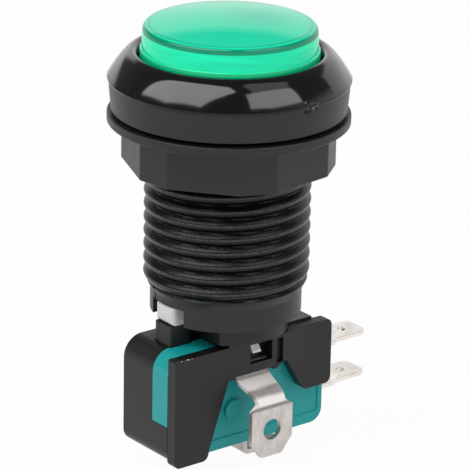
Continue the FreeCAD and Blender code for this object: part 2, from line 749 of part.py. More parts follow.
def side_plate(left_end):
    """A plate on the front, from this left end to the middle block and the right wing."""
    top = DECK_TOP_Z - RIGHT_WING_UNDER_DECK
    low = HOLE_HIGH[1] - RIGHT_WING_BELOW_HOLE
    block_corner = BLOCK_Z + BLOCK_CORNER_RISE
    corner_x = BLOCK_RIGHT + BLOCK_CORNER_RUN
    right = [
        (BLOCK_RIGHT, BLOCK_Z),
        (corner_x, block_corner),
        (CASE_X1 - RIGHT_WING_WIDTH, block_corner),
        (CASE_X1 - RIGHT_WING_LOW_WIDTH, low, PLATE_ROUND),
        (CASE_X1, low, PLATE_ROUND),
        (CASE_X1, top, PLATE_ROUND),
        (CASE_X1 - RIGHT_WING_TOP_WIDTH, top),
        (corner_x, DECK_Z + PLATE_OVER_DECK),
    ]
    return plate_xz(left_end + right, -PLATE_OUT_Y, -PLATE_IN_Y)


def side_peg(place):
    x, z = place
    return cross_rod(HOLE_R - PEG_CLEARANCE, x, z, -PLATE_IN_Y, -PLATE_IN_Y + PEG_LENGTH)


def lamp_holder():
    deck = box(
        (CASE_X0 + DECK_OVERHANG_LEFT, CASE_X1 - DECK_OVERHANG_RIGHT),
        (-PLATE_IN_Y, PLATE_IN_Y),
        (DECK_Z, DECK_TOP_Z),
    )
    hub = box(
        (-BLOCK_LEFT, BLOCK_RIGHT + BLOCK_CORNER_RUN), (-PLATE_OUT_Y, PLATE_OUT_Y), (DECK_Z, DECK_TOP_Z)
    )
    plug = rod(PLUG_R, DECK_TOP_Z, PLUG_TOP_Z)
    plug = plug.common(box((-PLUG_FLAT, PLUG_FLAT), (-PLUG_R, PLUG_R), (DECK_TOP_Z, PLUG_TOP_Z)))
    lug_half = LUG_WIDTH / 2
    lug_r = PLUG_R + LUG_PROUD
    lug = box((-lug_half, lug_half), (PLUG_R - OVER, lug_r), (LUG_Z, LUG_Z + LUG_HEIGHT))
    lug = lug.common(rod(lug_r, LUG_Z, LUG_Z + LUG_HEIGHT))
    front_side = [side_plate(left_wing()), side_peg(HOLE_LOW), side_peg(HOLE_HIGH), lug]
    back_side = [side_plate(block_end()), side_peg(HOLE_HIGH), lug]
    mirrored = [shape.mirror(vec(0, 0, 0), vec(0, 1, 0)) for shape in back_side]
    body = fuse([deck, hub, plug] + front_side + mirrored)

    slot_x = LAMP_WIDTH / 2 + LAMP_SLOT_CLEARANCE
    above = PLUG_TOP_Z + OVER
    finger_x = BLADE_INNER_WIDTH / 2 + BLADE_POCKET_CLEARANCE
    pocket_x = BLADE_POCKET_WIDTH / 2 + BLADE_POCKET_CLEARANCE
    finger_out = FINGER_Y + BLADE_THICKNESS / 2 + BLADE_POCKET_CLEARANCE
    inner_y = -PLATE_IN_Y + OVERLAP
    outer_y = -PLATE_OUT_Y - OVER
    post_x = WINDOW_RIGHT + POST_WIDTH
    front = [
        box((-finger_x, finger_x), (-finger_out, -LAMP_SLOT_Y + OVERLAP), (LAMP_FLOOR_Z, above)),
        box((-pocket_x, pocket_x), (-POCKET_Y, -LAMP_SLOT_Y - CHANNEL_INSET),
            (DECK_Z - OVERLAP, LAMP_FLOOR_Z + CHANNEL_HEIGHT)),
        box((-pocket_x, pocket_x), (-POCKET_Y, inner_y), (BLOCK_Z - OVER, DECK_Z)),
        box((-pocket_x, pocket_x), (outer_y, inner_y), (BLOCK_Z - OVER, BLOCK_Z + SKIN_NOTCH)),
        box((post_x, post_x + GROOVE_WIDTH), (outer_y, GROOVE_DEPTH - PLATE_OUT_Y),
            (BLOCK_Z + BLOCK_CORNER_RISE, DECK_Z - GROOVE_TOP)),
        box((-WINDOW_LEFT, WINDOW_RIGHT), (outer_y, -POCKET_Y + OVERLAP), (WINDOW_Z, WINDOW_TOP_Z)),
    ]
    cuts = [box((-slot_x, slot_x), (-LAMP_SLOT_Y, LAMP_SLOT_Y), (LAMP_FLOOR_Z, above))]
    cuts += front
    cuts += [shape.mirror(vec(0, 0, 0), vec(0, 1, 0)) for shape in front]
    return body.cut(Part.makeCompound(cuts))


# Lamp blades: sheet metal, sprung against the lamp's wire and bent out to a spade
def lamp_terminal():
    plate_top = BLOCK_Z - BLADE_PLATE_TOP
    tip = BLOCK_Z - BLADE_LENGTH
    finger_top = PLUG_TOP_Z - BLADE_TOP_GAP
    path = [
        (-FINGER_Y, finger_top),
        (-BULGE_Y, finger_top - BLADE_ARCH),
        (-FINGER_Y, finger_top - 2 * BLADE_ARCH),
        (-FINGER_Y, LAMP_FLOOR_Z + BLADE_KNEE_ABOVE_FLOOR),
        (-BLADE_POCKET_Y, DECK_Z + BLADE_KNEE_ABOVE_DECK),
        (-BLADE_POCKET_Y, BLOCK_Z - BLADE_EXIT, BLADE_WIDE_BEND_R),
        (-BLADE_PLATE_Y, plate_top + BLADE_SLOPE_END, BLADE_WIDE_BEND_R),
        (-BLADE_PLATE_Y, tip),
    ]
    sheet = sheet_yz(path, BLADE_THICKNESS, BLADE_BEND_R, BLADE_PLATE_WIDTH / 2)
    inner = BLADE_INNER_WIDTH / 2
    pocket = BLADE_POCKET_WIDTH / 2
    wide = BLADE_PLATE_WIDTH / 2
    end = BLADE_TIP_WIDTH / 2
    side = [
        (inner, finger_top + OVER),
        (inner, LAMP_FLOOR_Z),
        (pocket, LAMP_FLOOR_Z - (pocket - inner)),
        (pocket, BLOCK_Z),
        (inner, BLOCK_Z - BLADE_NECK_RUN, BLADE_NECK_ROUND),
        (inner, plate_top + BLADE_SHOULDER, PLATE_SMALL_ROUND),
        (wide, plate_top, PLATE_SMALL_ROUND),
        (wide, tip + BLADE_TAPER_LENGTH),
        (end, tip),
    ]
    mirrored = [(-corner[0],) + corner[1:] for corner in side[::-1]]
    flat = plate_xz(side + mirrored, -BLADE_PLATE_Y - OVER, 0.0)
    hole_z = tip + BLADE_HOLE_ABOVE_TIP
    hole = cross_rod(BLADE_HOLE_R, 0, hole_z, -BLADE_PLATE_Y - OVER, -BLADE_PLATE_Y + OVER)
    tongue_top = WINDOW_TOP_Z - TONGUE_BELOW_WINDOW
    tongue_x = TONGUE_CENTRE_X - TONGUE_WIDTH / 2
    opening = box((tongue_x - TONGUE_SIDE_GAP, wide), (-BLADE_PLATE_Y, 0.0), (WINDOW_Z, tongue_top))
    blade = sheet.common(flat).cut(Part.makeCompound([hole, opening]))
    return fuse([blade, tongue(tongue_x, tongue_top)])


def tongue(x0, top):
    """The tongue that is bent out of a blade, and catches in the plate's window."""
    low = top - TONGUE_HEIGHT
    inside = -BLADE_POCKET_Y + BLADE_THICKNESS / 2
    outside = -BLADE_POCKET_Y - BLADE_THICKNESS / 2
    outline = [
        (inside, top + OVERLAP),
        (inside, top),
        (inside - TONGUE_LEAN, low),
        (outside - TONGUE_LEAN, low),
        (outside, top),
        (outside, top + OVERLAP),
    ]
    return Part.Face(rounded_wire(outline, in_yz(x0))).extrude(vec(TONGUE_WIDTH, 0, 0))


# Lamp: a flat wedge under a round collar, with a wire folded up each face and a domed light on top
def lamp_base():
    half_x = LAMP_WIDTH / 2
    half_y = LAMP_THICKNESS / 2
    wedge = box((-half_x, half_x), (-half_y, half_y), (LAMP_Z, LAMP_TOP_Z))
    return fuse([wedge, rod(LAMP_COLLAR_R, LAMP_TOP_Z - LAMP_COLLAR_HEIGHT, LAMP_TOP_Z)])


def lamp_lead():
    face = -LAMP_THICKNESS / 2 - LEAD_SIZE / 2
    low = LAMP_Z - LEAD_SIZE / 2
    high = LAMP_TOP_Z - LAMP_COLLAR_HEIGHT - LEAD_SIZE
    path = [(face, high), (face, low), (face + LAMP_THICKNESS / 2, low)]
    lead = sheet_yz(path, LEAD_SIZE, LEAD_SIZE / 2, LEAD_SIZE / 2)
    lead.translate(vec(LEAD_X, 0, 0))
    return lead


def lamp_led():
    top = LAMP_TOP_Z + LED_HEIGHT
    shoulder = top - LED_SHOULDER
    return turned_points([
        (0.0, LAMP_TOP_Z),
        (LED_R, LAMP_TOP_Z),
        (LED_R, shoulder),
        (LED_R - LED_SHOULDER, top),
        (0.0, top),
    ])


# Switch housing: the black half with one full-depth corner, and the teal cover
def housing_outline(y0, y1):
    corners = [
        (CASE_X0, CASE_TOP_Z, CASE_TOP_ROUND),
        (CASE_X0, CASE_Z, CASE_BOTTOM_ROUND),
        (CASE_X1, CASE_Z, CASE_BOTTOM_ROUND),
        (CASE_X1, CASE_TOP_Z, CASE_BOTTOM_ROUND),
    ]
    return plate_xz(corners, y0, y1)


def housing_bosses(y0, y1):
    return [cross_rod(BOSS_R, x, z, y0, y1) for x, z in (HOLE_LOW, HOLE_HIGH)]


def housing_cuts():
    """Mounting holes, the button's hole and the terminals' slots, for both halves."""
    cuts = [cross_rod(HOLE_R, x, z, -CASE_Y - OVER, CASE_Y + OVER) for x, z in (HOLE_LOW, HOLE_HIGH)]
    gap = BUTTON_HOLE_CLEARANCE
    half = BUTTON_WIDTH / 2 + gap
    cuts.append(
        box((-FOOT_X - gap, BUTTON_X1 + gap), (-half, half), (CAVITY_TOP_Z - OVERLAP, CASE_TOP_Z + OVER))
    )
    tab_y = TAB_WIDTH / 2 + SLOT_CLEARANCE
    for z in (TAB_UPPER_Z, TAB_LOWER_Z):
        half_z = TAB_THICKNESS / 2 + SLOT_CLEARANCE
        cuts.append(
            box((CAVITY_X1 - OVERLAP, CASE_X1 + OVER), (-tab_y, tab_y), (z - half_z, z + half_z))
        )
    half_x = COMMON_THICKNESS / 2 + SLOT_CLEARANCE
    cuts.append(
        box((COMMON_X - half_x, COMMON_X + half_x), (-tab_y, tab_y), (CASE_Z - OVER, CAVITY_Z + OVERLAP))
    )
    return Part.makeCompound(cuts)


def switch_case():
    shell = housing_outline(SPLIT_Y, CASE_Y)
    cavity = box((CAVITY_X0, CAVITY_X1), (SPLIT_Y - OVER, CAVITY_Y), (CAVITY_Z, CAVITY_TOP_Z))
    shell = shell.cut(cavity)
    corner = housing_outline(-CASE_Y, SPLIT_Y).common(
        box((CASE_X0, BLOCK_X1), (-CASE_Y, SPLIT_Y), (CASE_Z, CORNER_BLOCK_Z))
    )
    inner = housing_outline(SPLIT_Y, CASE_Y)
    bosses = [boss.common(inner) for boss in housing_bosses(SPLIT_Y, CASE_Y)]
    return fuse([shell, corner] + bosses).cut(housing_cuts())


def switch_cover():
    split = SPLIT_Y - SEAM
    outer = housing_outline(-CASE_Y, split)
    cavity = box((CAVITY_X0, CAVITY_X1), (-CAVITY_Y, split + OVER), (CAVITY_Z, CAVITY_TOP_Z))
    corner = box(
        (CASE_X0 - OVER, BLOCK_X1 + SEAM),
        (-CASE_Y - OVER, split + OVER),
        (CASE_Z - OVER, CORNER_BLOCK_Z + SEAM),
    )
    high = housing_bosses(-CASE_Y, split)[1].common(outer)
    shell = fuse([outer.cut(cavity), high]).cut(corner)
    rim_x = BLOCK_X1 + COVER_ROUND
    rim_x1 = CASE_X1 - COVER_RIM / 2
    rim_z = CASE_Z + COVER_RIM
    rim_z1 = CASE_TOP_Z - COVER_RIM - 2 * BOSS_R
    recess = plate_xz(
        [
            (rim_x, rim_z, COVER_ROUND),
            (rim_x1, rim_z, COVER_ROUND),
            (rim_x1, rim_z1, COVER_ROUND),
            (rim_x, rim_z1, COVER_ROUND),
        ],
        -CASE_Y - OVER,
        -CASE_Y + COVER_RECESS_DEPTH,
    )
    boss = cross_rod(
        COVER_BOSS_R,
        CASE_X0 + COVER_BOSS_FROM_END,
        CASE_Z + COVER_BOSS_FROM_EDGE,
        -CASE_Y - COVER_BOSS_PROUD,
        -CASE_Y + 2 * COVER_RECESS_DEPTH,
    )
    return fuse([shell.cut(recess), boss]).cut(housing_cuts())


def switch_button():
    half = BUTTON_WIDTH / 2
    collar_top = CAVITY_TOP_Z - BUTTON_GAP
    collar_z = collar_top - BUTTON_COLLAR_HEIGHT
    block = box((-FOOT_X, BUTTON_X1), (-half, half), (collar_top - OVERLAP, BUTTON_TOP_Z))
    upright = [edge for edge in block.Edges if edge.BoundBox.ZLength > BUTTON_PROUD]
    block = block.makeFillet(BUTTON_EDGE_ROUND, upright)
    collar = box(
        (-FOOT_X - BUTTON_COLLAR, BUTTON_X1 + BUTTON_COLLAR),
        (-half - BUTTON_COLLAR, half + BUTTON_COLLAR),
        (collar_z, collar_top),
    )
    stem_half = STEM_WIDTH / 2
    tip_z = LEVER_TOP_Z + LEVER_GAP + STEM_R
    stem = box((STEM_X - STEM_R, STEM_X + STEM_R), (-stem_half, stem_half), (tip_z, collar_z))
    tip = cross_rod(STEM_R, STEM_X, tip_z, -stem_half, stem_half)
    return fuse([block, collar, stem, tip])


def switch_lever():
    half = LEVER_WIDTH / 2
    left = STEM_X - STEM_R
    right = CONTACT_X + LEVER_END_MARGIN
    blade = box((left, right), (-half, half), (LEVER_Z, LEVER_TOP_Z))
    upright = [edge for edge in blade.Edges if abs(edge.Vertexes[0].Z - edge.Vertexes[1].Z) > LEVER_GAP]
    blade = blade.makeFillet(LEVER_TIP_ROUND, upright)
    return blade.cut(rod(CONTACT_R + CONTACT_FIT, LEVER_Z - OVER, LEVER_TOP_Z + OVER, CONTACT_X))


def moving_contact():
    """A slug pressed through the lever, standing proud on both sides."""
    return rod(CONTACT_R, LEVER_Z - CONTACT_HEAD, LEVER_TOP_Z + CONTACT_HEAD, CONTACT_X)


# Leaf spring folded between the floor of the case and the lever
def switch_spring():
    floor = CAVITY_Z + LEAF_THICKNESS / 2
    heel = PIVOT_X - LEAF_HEEL_FROM_PIVOT
    tip_z = LEVER_Z - LEAF_GAP - LEAF_THICKNESS
    path = [(heel - LEAF_FOOT, floor), (heel, floor), (PIVOT_X - LEAF_ARM, tip_z)]
    return sheet_xz(path, LEAF_THICKNESS, LEAF_BEND, LEAF_WIDTH / 2)


# Switch terminals
def tab(z):
    """The part of a side terminal outside the case: shoulder, blade, tip and hole."""
    half = TAB_WIDTH / 2
    wide = SHOULDER_WIDTH / 2
    root = CASE_X1 + SLOT_CLEARANCE
    step = CASE_X1 + SHOULDER_REACH
    side = [
        (root, wide),
        (step, wide),
        (step + (wide - half), half),
        (TAB_TIP_X, half, TAB_TIP_ROUND),
    ]
    low = z - TAB_THICKNESS / 2
    mirrored = [(corner[0], -corner[1]) + corner[2:] for corner in side[::-1]]
    blade = Part.Face(rounded_wire(side + mirrored, in_xy(low))).extrude(vec(0, 0, TAB_THICKNESS))
    return blade.cut(rod(TAB_HOLE_R, low - OVER, low + TAB_THICKNESS + OVER, TAB_TIP_X - TAB_HOLE_FROM_TIP))


def no_terminal():
    half = TAB_WIDTH / 2
    inner = CONTACT_X - CONTACT_PLATE_OVERHANG
    low = TAB_UPPER_Z - TAB_THICKNESS / 2
    plate = box((inner, CASE_X1 + OVER), (-half, half), (low, low + TAB_THICKNESS))
    return fuse([plate, tab(TAB_UPPER_Z)])


def nc_terminal():
    half = TAB_WIDTH / 2
    riser = RISER_X - TAB_THICKNESS / 2
    plate_z = NC_FACE_Z - NC_CONTACT_HEAD - TAB_THICKNESS / 2
    path = [
        (CASE_X1 + OVER, TAB_LOWER_Z),
        (riser, TAB_LOWER_Z),
        (riser, plate_z),
        (CONTACT_X - CONTACT_PLATE_OVERHANG, plate_z),
    ]
    return fuse([sheet_xz(path, TAB_THICKNESS, TAB_BEND_R, half), tab(TAB_LOWER_Z)])


def nc_contact():
    return rod(CONTACT_R, NC_FACE_Z - NC_CONTACT_HEAD, NC_FACE_Z, CONTACT_X)


def no_contact():
    return rod(CONTACT_R, NO_FACE_Z, NO_FACE_Z + NO_CONTACT_HEAD, CONTACT_X)


def common_terminal():
    half = TAB_WIDTH / 2
    half_sheet = COMMON_THICKNESS / 2
    drop = CASE_Z - COMMON_DROP + half_sheet
    knife = LEVER_Z - KNIFE_GAP
    neck = knife - KNIFE_HEIGHT
    path = [
        (COMMON_X + COMMON_REACH - half_sheet, drop),
        (COMMON_X, drop),
        (COMMON_X, neck - KNIFE_POST - KNIFE_SLOPE),
        (PIVOT_X, neck - KNIFE_POST),
        (PIVOT_X, neck),
    ]
    sheet = sheet_xz(path, COMMON_THICKNESS, COMMON_BEND_R, half)
    tip = [
        (PIVOT_X - half_sheet, neck),
        (PIVOT_X + half_sheet, neck),
        (PIVOT_X + KNIFE_EDGE / 2, knife),
        (PIVOT_X - KNIFE_EDGE / 2, knife),
    ]
    ear_y = LEVER_WIDTH / 2 + EAR_CLEARANCE
    ear = box((PIVOT_X - half_sheet, PIVOT_X + half_sheet), (ear_y, half), (neck, PIVOT_Z + EAR_RISE))
    ears = [ear, ear.mirror(vec(0, 0, 0), vec(0, 1, 0))]
    return fuse([sheet, plate_xz(tip, -half, half)] + ears)


def build():
    front_blade = lamp_terminal()
    front_lead = lamp_lead()
    return {
        "button_body": button_body(),
        "clamp_nut": clamp_nut(),
        "lens": lens(),
        "diffuser": diffuser(),
        "plunger": plunger(),
        "return_spring": return_spring(),
        "lamp_holder": lamp_holder(),
        "lamp_terminal_front": front_blade,
        "lamp_terminal_back": front_blade.mirror(vec(0, 0, 0), vec(0, 1, 0)),
        "lamp_base": lamp_base(),
        "lamp_led": lamp_led(),
        "lamp_lead_front": front_lead,
        "lamp_lead_back": turned_half(front_lead),
        "switch_case": switch_case(),
        "switch_cover": switch_cover(),
        "switch_button": switch_button(),
        "switch_lever": switch_lever(),
        "moving_contact": moving_contact(),
        "switch_spring": switch_spring(),
        "common_terminal": common_terminal(),
        "nc_terminal": nc_terminal(),
        "no_terminal": no_terminal(),
        "nc_contact": nc_contact(),
        "no_contact": no_contact(),
    }


os.makedirs("parts", exist_ok=True)
for name, shape in build().items():
    shape.exportStep(os.path.join("parts", name + ".step"))
    print(name, len(shape.Solids), shape.isValid(), round(shape.Volume, 2))
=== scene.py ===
"""Looks of an illuminated push button: bezel, barrel, nut, mint cap, lamp holder and snap-action switch.

Metres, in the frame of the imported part: the origin is on the button's axis at the bezel's underside, +Z up.
Sizes of the part are written in mm, and become metres where MM or mm() stands.
"""

import math

import bmesh
import bpy
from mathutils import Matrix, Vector


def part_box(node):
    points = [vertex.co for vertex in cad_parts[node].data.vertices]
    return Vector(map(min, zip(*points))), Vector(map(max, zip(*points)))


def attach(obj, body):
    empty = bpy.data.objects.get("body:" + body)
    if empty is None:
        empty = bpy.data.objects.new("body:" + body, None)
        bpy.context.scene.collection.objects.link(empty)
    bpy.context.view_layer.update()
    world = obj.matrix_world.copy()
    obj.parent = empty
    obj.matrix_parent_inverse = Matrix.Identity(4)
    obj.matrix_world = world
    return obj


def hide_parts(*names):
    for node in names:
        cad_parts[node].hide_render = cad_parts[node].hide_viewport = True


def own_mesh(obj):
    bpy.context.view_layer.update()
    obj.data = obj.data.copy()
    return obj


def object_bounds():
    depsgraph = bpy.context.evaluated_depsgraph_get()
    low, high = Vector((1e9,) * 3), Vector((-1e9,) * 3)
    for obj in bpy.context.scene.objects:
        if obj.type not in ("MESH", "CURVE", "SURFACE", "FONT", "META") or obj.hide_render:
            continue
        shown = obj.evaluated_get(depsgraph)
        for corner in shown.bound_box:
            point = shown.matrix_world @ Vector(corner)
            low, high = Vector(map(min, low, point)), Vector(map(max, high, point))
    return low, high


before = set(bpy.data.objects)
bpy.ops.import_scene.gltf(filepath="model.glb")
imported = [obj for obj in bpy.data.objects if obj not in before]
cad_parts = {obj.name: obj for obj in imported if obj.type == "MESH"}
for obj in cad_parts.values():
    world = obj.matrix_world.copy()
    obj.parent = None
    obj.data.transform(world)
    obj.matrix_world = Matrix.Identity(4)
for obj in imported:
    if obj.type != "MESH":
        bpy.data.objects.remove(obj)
cad_low, cad_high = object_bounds()
MM = 0.001


# Barrel: a black moulding with a flared gloss bezel, a thread of 2 mm pitch and a plain skirt at its foot.
# The thread is made by a node tree, because it is one groove that repeats at every turn; the rest is turned.
# Notches, bayonet grooves and the mark of the mould's parting line are cut into the skirt.
class Wire:
    """One output of a node. A sum or product of it adds a Math node to the same tree."""

    def __init__(self, socket):
        self.socket = socket

    def maths(self, operation, *values):
        node = self.socket.id_data.nodes.new("ShaderNodeMath")
        node.operation = operation
        for place, value in zip(node.inputs, values):
            feed(place, value)
        return Wire(node.outputs[0])

    def __add__(self, other):
        return self.maths("ADD", self, other)

    def __radd__(self, other):
        return self.maths("ADD", other, self)

    def __sub__(self, other):
        return self.maths("SUBTRACT", self, other)

    def __rsub__(self, other):
        return self.maths("SUBTRACT", other, self)

    def __mul__(self, other):
        return self.maths("MULTIPLY", self, other)

    def __rmul__(self, other):
        return self.maths("MULTIPLY", other, self)

    def __truediv__(self, other):
        return self.maths("DIVIDE", self, other)

    def __pow__(self, other):
        return self.maths("POWER", self, other)

    def clamped(self):
        return self.maths("MINIMUM", self.maths("MAXIMUM", self, 0.0), 1.0)

    def step(self, low, high):
        """0 below low, 1 above high, and a straight ramp between them."""
        return ((self - low) / (high - low)).clamped()

    def between(self, rise, fall):
        """1 from one ramp to the next, and 0 outside; each ramp is given by its two ends."""
        return self.step(*rise) * (1.0 - self.step(*fall))


def mm(*lengths):
    """Lengths in mm as metres."""
    return tuple(length * MM for length in lengths)


def feed(place, value):
    """Links a wire to a socket, or sets the socket's own value."""
    if isinstance(value, Wire):
        place.id_data.links.new(value.socket, place)
    else:
        place.default_value = value


class Tree:
    """A node tree, with one method that adds a node of any kind."""

    def __init__(self, tree):
        self.tree = tree

    def node(self, kind, settings=None, values=None, output=0):
        node = self.tree.nodes.new(kind)
        for key, value in (settings or {}).items():
            setattr(node, key, value)
        for key, value in (values or {}).items():
            feed(node.inputs[key], value)
        return Wire(node.outputs[output])

    def split(self, vector):
        """The three parts of a vector."""
        node = self.tree.nodes.new("ShaderNodeSeparateXYZ")
        feed(node.inputs[0], vector)
        return [Wire(place) for place in node.outputs]


class Finish(Tree):
    """A material: its main shader, and the patterns that change it over the surface."""

    def __init__(self, name, colour, roughness, metallic=0.0):
        self.material = bpy.data.materials.new(name)
        self.material.use_nodes = True
        super().__init__(self.material.node_tree)
        self.shader = self.tree.nodes["Principled BSDF"]
        self.set("Base Color", (*colour, 1.0))
        self.set("Roughness", roughness)
        self.set("Metallic", metallic)
        self.place = self.node("ShaderNodeTexCoord", output="Object")

    def set(self, name, value):
        feed(self.shader.inputs[name], value)

    def noise(self, scale, detail=2.0, stretch=(1.0, 1.0, 1.0)):
        """Cloudy noise from 0 to 1, with about this many cells to the metre."""
        place = self.node("ShaderNodeMapping", {}, {"Vector": self.place, "Scale": stretch})
        return self.node("ShaderNodeTexNoise", {}, {"Vector": place, "Scale": scale, "Detail": detail})

    def blend(self, mask, first, second):
        """A colour that goes from the first to the second where the mask goes from 0 to 1."""
        # In a Mix node, inputs 6 and 7 and output 2 are the colours.
        node = self.tree.nodes.new("ShaderNodeMix")
        node.data_type = "RGBA"
        feed(node.inputs[0], mask)
        feed(node.inputs[6], first if isinstance(first, Wire) else (*first, 1.0))
        feed(node.inputs[7], second if isinstance(second, Wire) else (*second, 1.0))
        return Wire(node.outputs[2])

    def spot(self, centre, radius):
        """1 at a place on the piece, and 0 from this distance on."""
        away = self.node(
            "ShaderNodeVectorMath", {"operation": "DISTANCE"}, {0: self.place, 1: centre}, "Value"
        )
        return 1.0 - away.step(0.0, radius)

    def bump(self, height, distance, strength=1.0):
        values = {"Height": height, "Distance": distance, "Strength": strength}
        self.set("Normal", self.node("ShaderNodeBump", {}, values))


MERGE_WITHIN = 0.002


def turned(profile, segments, closed=True):
    """A bmesh turned about Z from (radius, height) points in mm, anticlockwise round the section."""
    shape = bmesh.new()
    rings = []
    for radius, height in profile:
        ring = []
        for step in range(segments):
            angle = 2 * math.pi * step / segments
            place = mm(radius * math.cos(angle), radius * math.sin(angle), height)
            ring.append(shape.verts.new(place))
        rings.append(ring)
    pairs = list(zip(rings, rings[1:]))
    if closed:
        pairs.append((rings[-1], rings[0]))
    for low, high in pairs:
        for step in range(segments):
            after = (step + 1) % segments
            shape.faces.new((low[step], low[after], high[after], high[step]))
    bmesh.ops.remove_doubles(shape, verts=shape.verts, dist=MERGE_WITHIN * MM)
    return shape


def arc_block(radii, heights, degrees, steps=1):
    """A block bent round the axis, between two radii, two heights and two angles."""
    shape = bmesh.new()
    slices = []
    for step in range(steps + 1):
        angle = math.radians(degrees[0] + (degrees[1] - degrees[0]) * step / steps)
        corners = []
        for radius, height in ((0, 0), (1, 0), (1, 1), (0, 1)):
            r = radii[radius] * MM
            corners.append(shape.verts.new((r * math.cos(angle), r * math.sin(angle), heights[height] * MM)))
        slices.append(corners)
    for first, second in zip(slices, slices[1:]):
        for corner in range(4):
            following = (corner + 1) % 4
            shape.faces.new((first[corner], first[following], second[following], second[corner]))
    shape.faces.new(slices[0][::-1])
    shape.faces.new(slices[-1])
    bmesh.ops.recalc_face_normals(shape, faces=shape.faces)
    return shape


def block(x, y, z):
    """A block between the two values of each axis, in mm."""
    shape = bmesh.new()
    bmesh.ops.create_cube(shape, size=1.0)
    for vertex in shape.verts:
        for axis, (low, high) in enumerate((x, y, z)):
            vertex.co[axis] = (low if vertex.co[axis] < 0 else high) * MM
    return shape


def as_object(name, shape):
    """An object at the origin that takes over a bmesh."""
    mesh = bpy.data.meshes.new(name)
    shape.to_mesh(mesh)
    shape.free()
    piece = bpy.data.objects.new(name, mesh)
    bpy.context.scene.collection.objects.link(piece)
    return piece


def settled(piece):
    """Turns what the modifiers make of a piece into its plain mesh, and removes them."""
    evaluated = piece.evaluated_get(bpy.context.evaluated_depsgraph_get())
    mesh = bpy.data.meshes.new_from_object(evaluated)
    mesh.name = piece.name
    piece.modifiers.clear()
    piece.data = mesh


def cut(piece, cutters):
    """Takes each cutter out of a piece."""
    for number, cutter in enumerate(cutters):
        tool = as_object(f"cutter {number}", cutter)
        change = piece.modifiers.new("cut", "BOOLEAN")
        change.object = tool
        change.solver = "EXACT"
        settled(piece)
        bpy.data.objects.remove(tool)


def shaded(piece, degrees=32.0):
    """Smooth faces, with creases where they meet at more than this angle."""
    for face in piece.data.polygons:
        face.use_smooth = True
    piece.data.set_sharp_from_angle(angle=math.radians(degrees))


def fitted(piece, finish, body, node):
    """Gives a finished piece its material and body, and hides the CAD node it stands for."""
    piece.data.materials.clear()
    piece.data.materials.append(finish.material)
    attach(piece, body)
    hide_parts(node)


CREST_R = 11.7
ROOT_R = 11.0
SKIRT_R = 10.68
BORE_R = 9.35
THREAD_PITCH = 2.0
THREAD_ROUND = 1.6
CREST_PLACE = 0.58
GROOVE_FLOOR = 0.06
GROOVE_END = (-2.6, -1.8)
TAPER_TOP = -24.1
TAPER_FOOT = -26.2
TAPER_BLEND = 0.12
LAST_OF_TAPER = (0.75, 1.0)
BARREL_SEGMENTS = 144
BARREL_RINGS = 236
BARREL_MERGE_WITHIN = 0.005

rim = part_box("button_body")[0].z / MM


def thread_tree(material):
    """Nodes that wrap a grid round the axis and sink one groove per turn into it."""
    group = bpy.data.node_groups.new("thread", "GeometryNodeTree")
    group.interface.new_socket(name="Geometry", in_out="OUTPUT", socket_type="NodeSocketGeometry")
    sizes = {
        "Pitch": THREAD_PITCH, "Crest": CREST_R, "Root": ROOT_R, "Foot": rim,
        "Taper Top": TAPER_TOP, "Taper Foot": TAPER_FOOT, "Skirt": SKIRT_R,
    }
    for name, size in sizes.items():
        place = group.interface.new_socket(name=name, in_out="INPUT", socket_type="NodeSocketFloat")
        place.default_value = size
    tree = Tree(group)
    entry = group.nodes.new("NodeGroupInput")
    given = {name: Wire(entry.outputs[name]) for name in sizes}
    grid = tree.node("GeometryNodeMeshGrid", {}, {
        "Size X": 1.0, "Size Y": 1.0,
        "Vertices X": BARREL_SEGMENTS + 1, "Vertices Y": BARREL_RINGS + 1,
    }, "Mesh")
    across, along, _ = tree.split(tree.node("GeometryNodeInputPosition"))
    turn = across + 0.5
    height = (0.5 - along) * given["Foot"]
    phase = height / given["Pitch"] - turn
    place_in_turn = phase.maths("FLOORED_MODULO", phase, 1.0)
    under_crest = place_in_turn / CREST_PLACE
    over_crest = (1.0 - place_in_turn) / (1.0 - CREST_PLACE)
    from_groove = under_crest.maths("MINIMUM", under_crest, over_crest).step(GROOVE_FLOOR, 1.0)
    rise = 1.0 - (1.0 - from_groove) ** THREAD_ROUND
    ridge = given["Root"] + (given["Crest"] - given["Root"]) * rise
    above = height.step(*GROOVE_END)
    ridge = ridge + (given["Crest"] - ridge) * above
    down = ((given["Taper Top"] - height) / (given["Taper Top"] - given["Taper Foot"])).clamped()
    taper = given["Crest"] - (given["Crest"] - given["Skirt"]) * down
    radius = ridge.maths("SMOOTH_MIN", ridge, taper, TAPER_BLEND)
    radius = radius + (taper - radius) * down.step(*LAST_OF_TAPER)
    angle = turn * (2 * math.pi)
    spot = tree.node("ShaderNodeCombineXYZ", {}, {
        0: radius * angle.maths("COSINE", angle) * MM,
        1: radius * angle.maths("SINE", angle) * MM,
        2: height * MM,
    })
    wrapped = tree.node("GeometryNodeSetPosition", {}, {"Geometry": grid, "Position": spot})
    seam = {"Geometry": wrapped, "Distance": MERGE_WITHIN * MM}
    closed = tree.node("GeometryNodeMergeByDistance", {}, seam)
    real = tree.node("GeometryNodeRealizeInstances", {}, {"Geometry": closed})
    last = tree.node("GeometryNodeSetMaterial", {}, {"Geometry": real, "Material": material})
    leave = group.nodes.new("NodeGroupOutput")
    feed(leave.inputs[0], last)
    return group


def quadratic(start, pull, end, steps):
    """Points of a curve that leaves start towards pull and reaches end from it."""
    points = []
    for step in range(steps + 1):
        t = step / steps
        parts = zip(start, pull, end)
        points.append(tuple((1 - t) ** 2 * a + 2 * t * (1 - t) * b + t * t * c for a, b, c in parts))
    return points
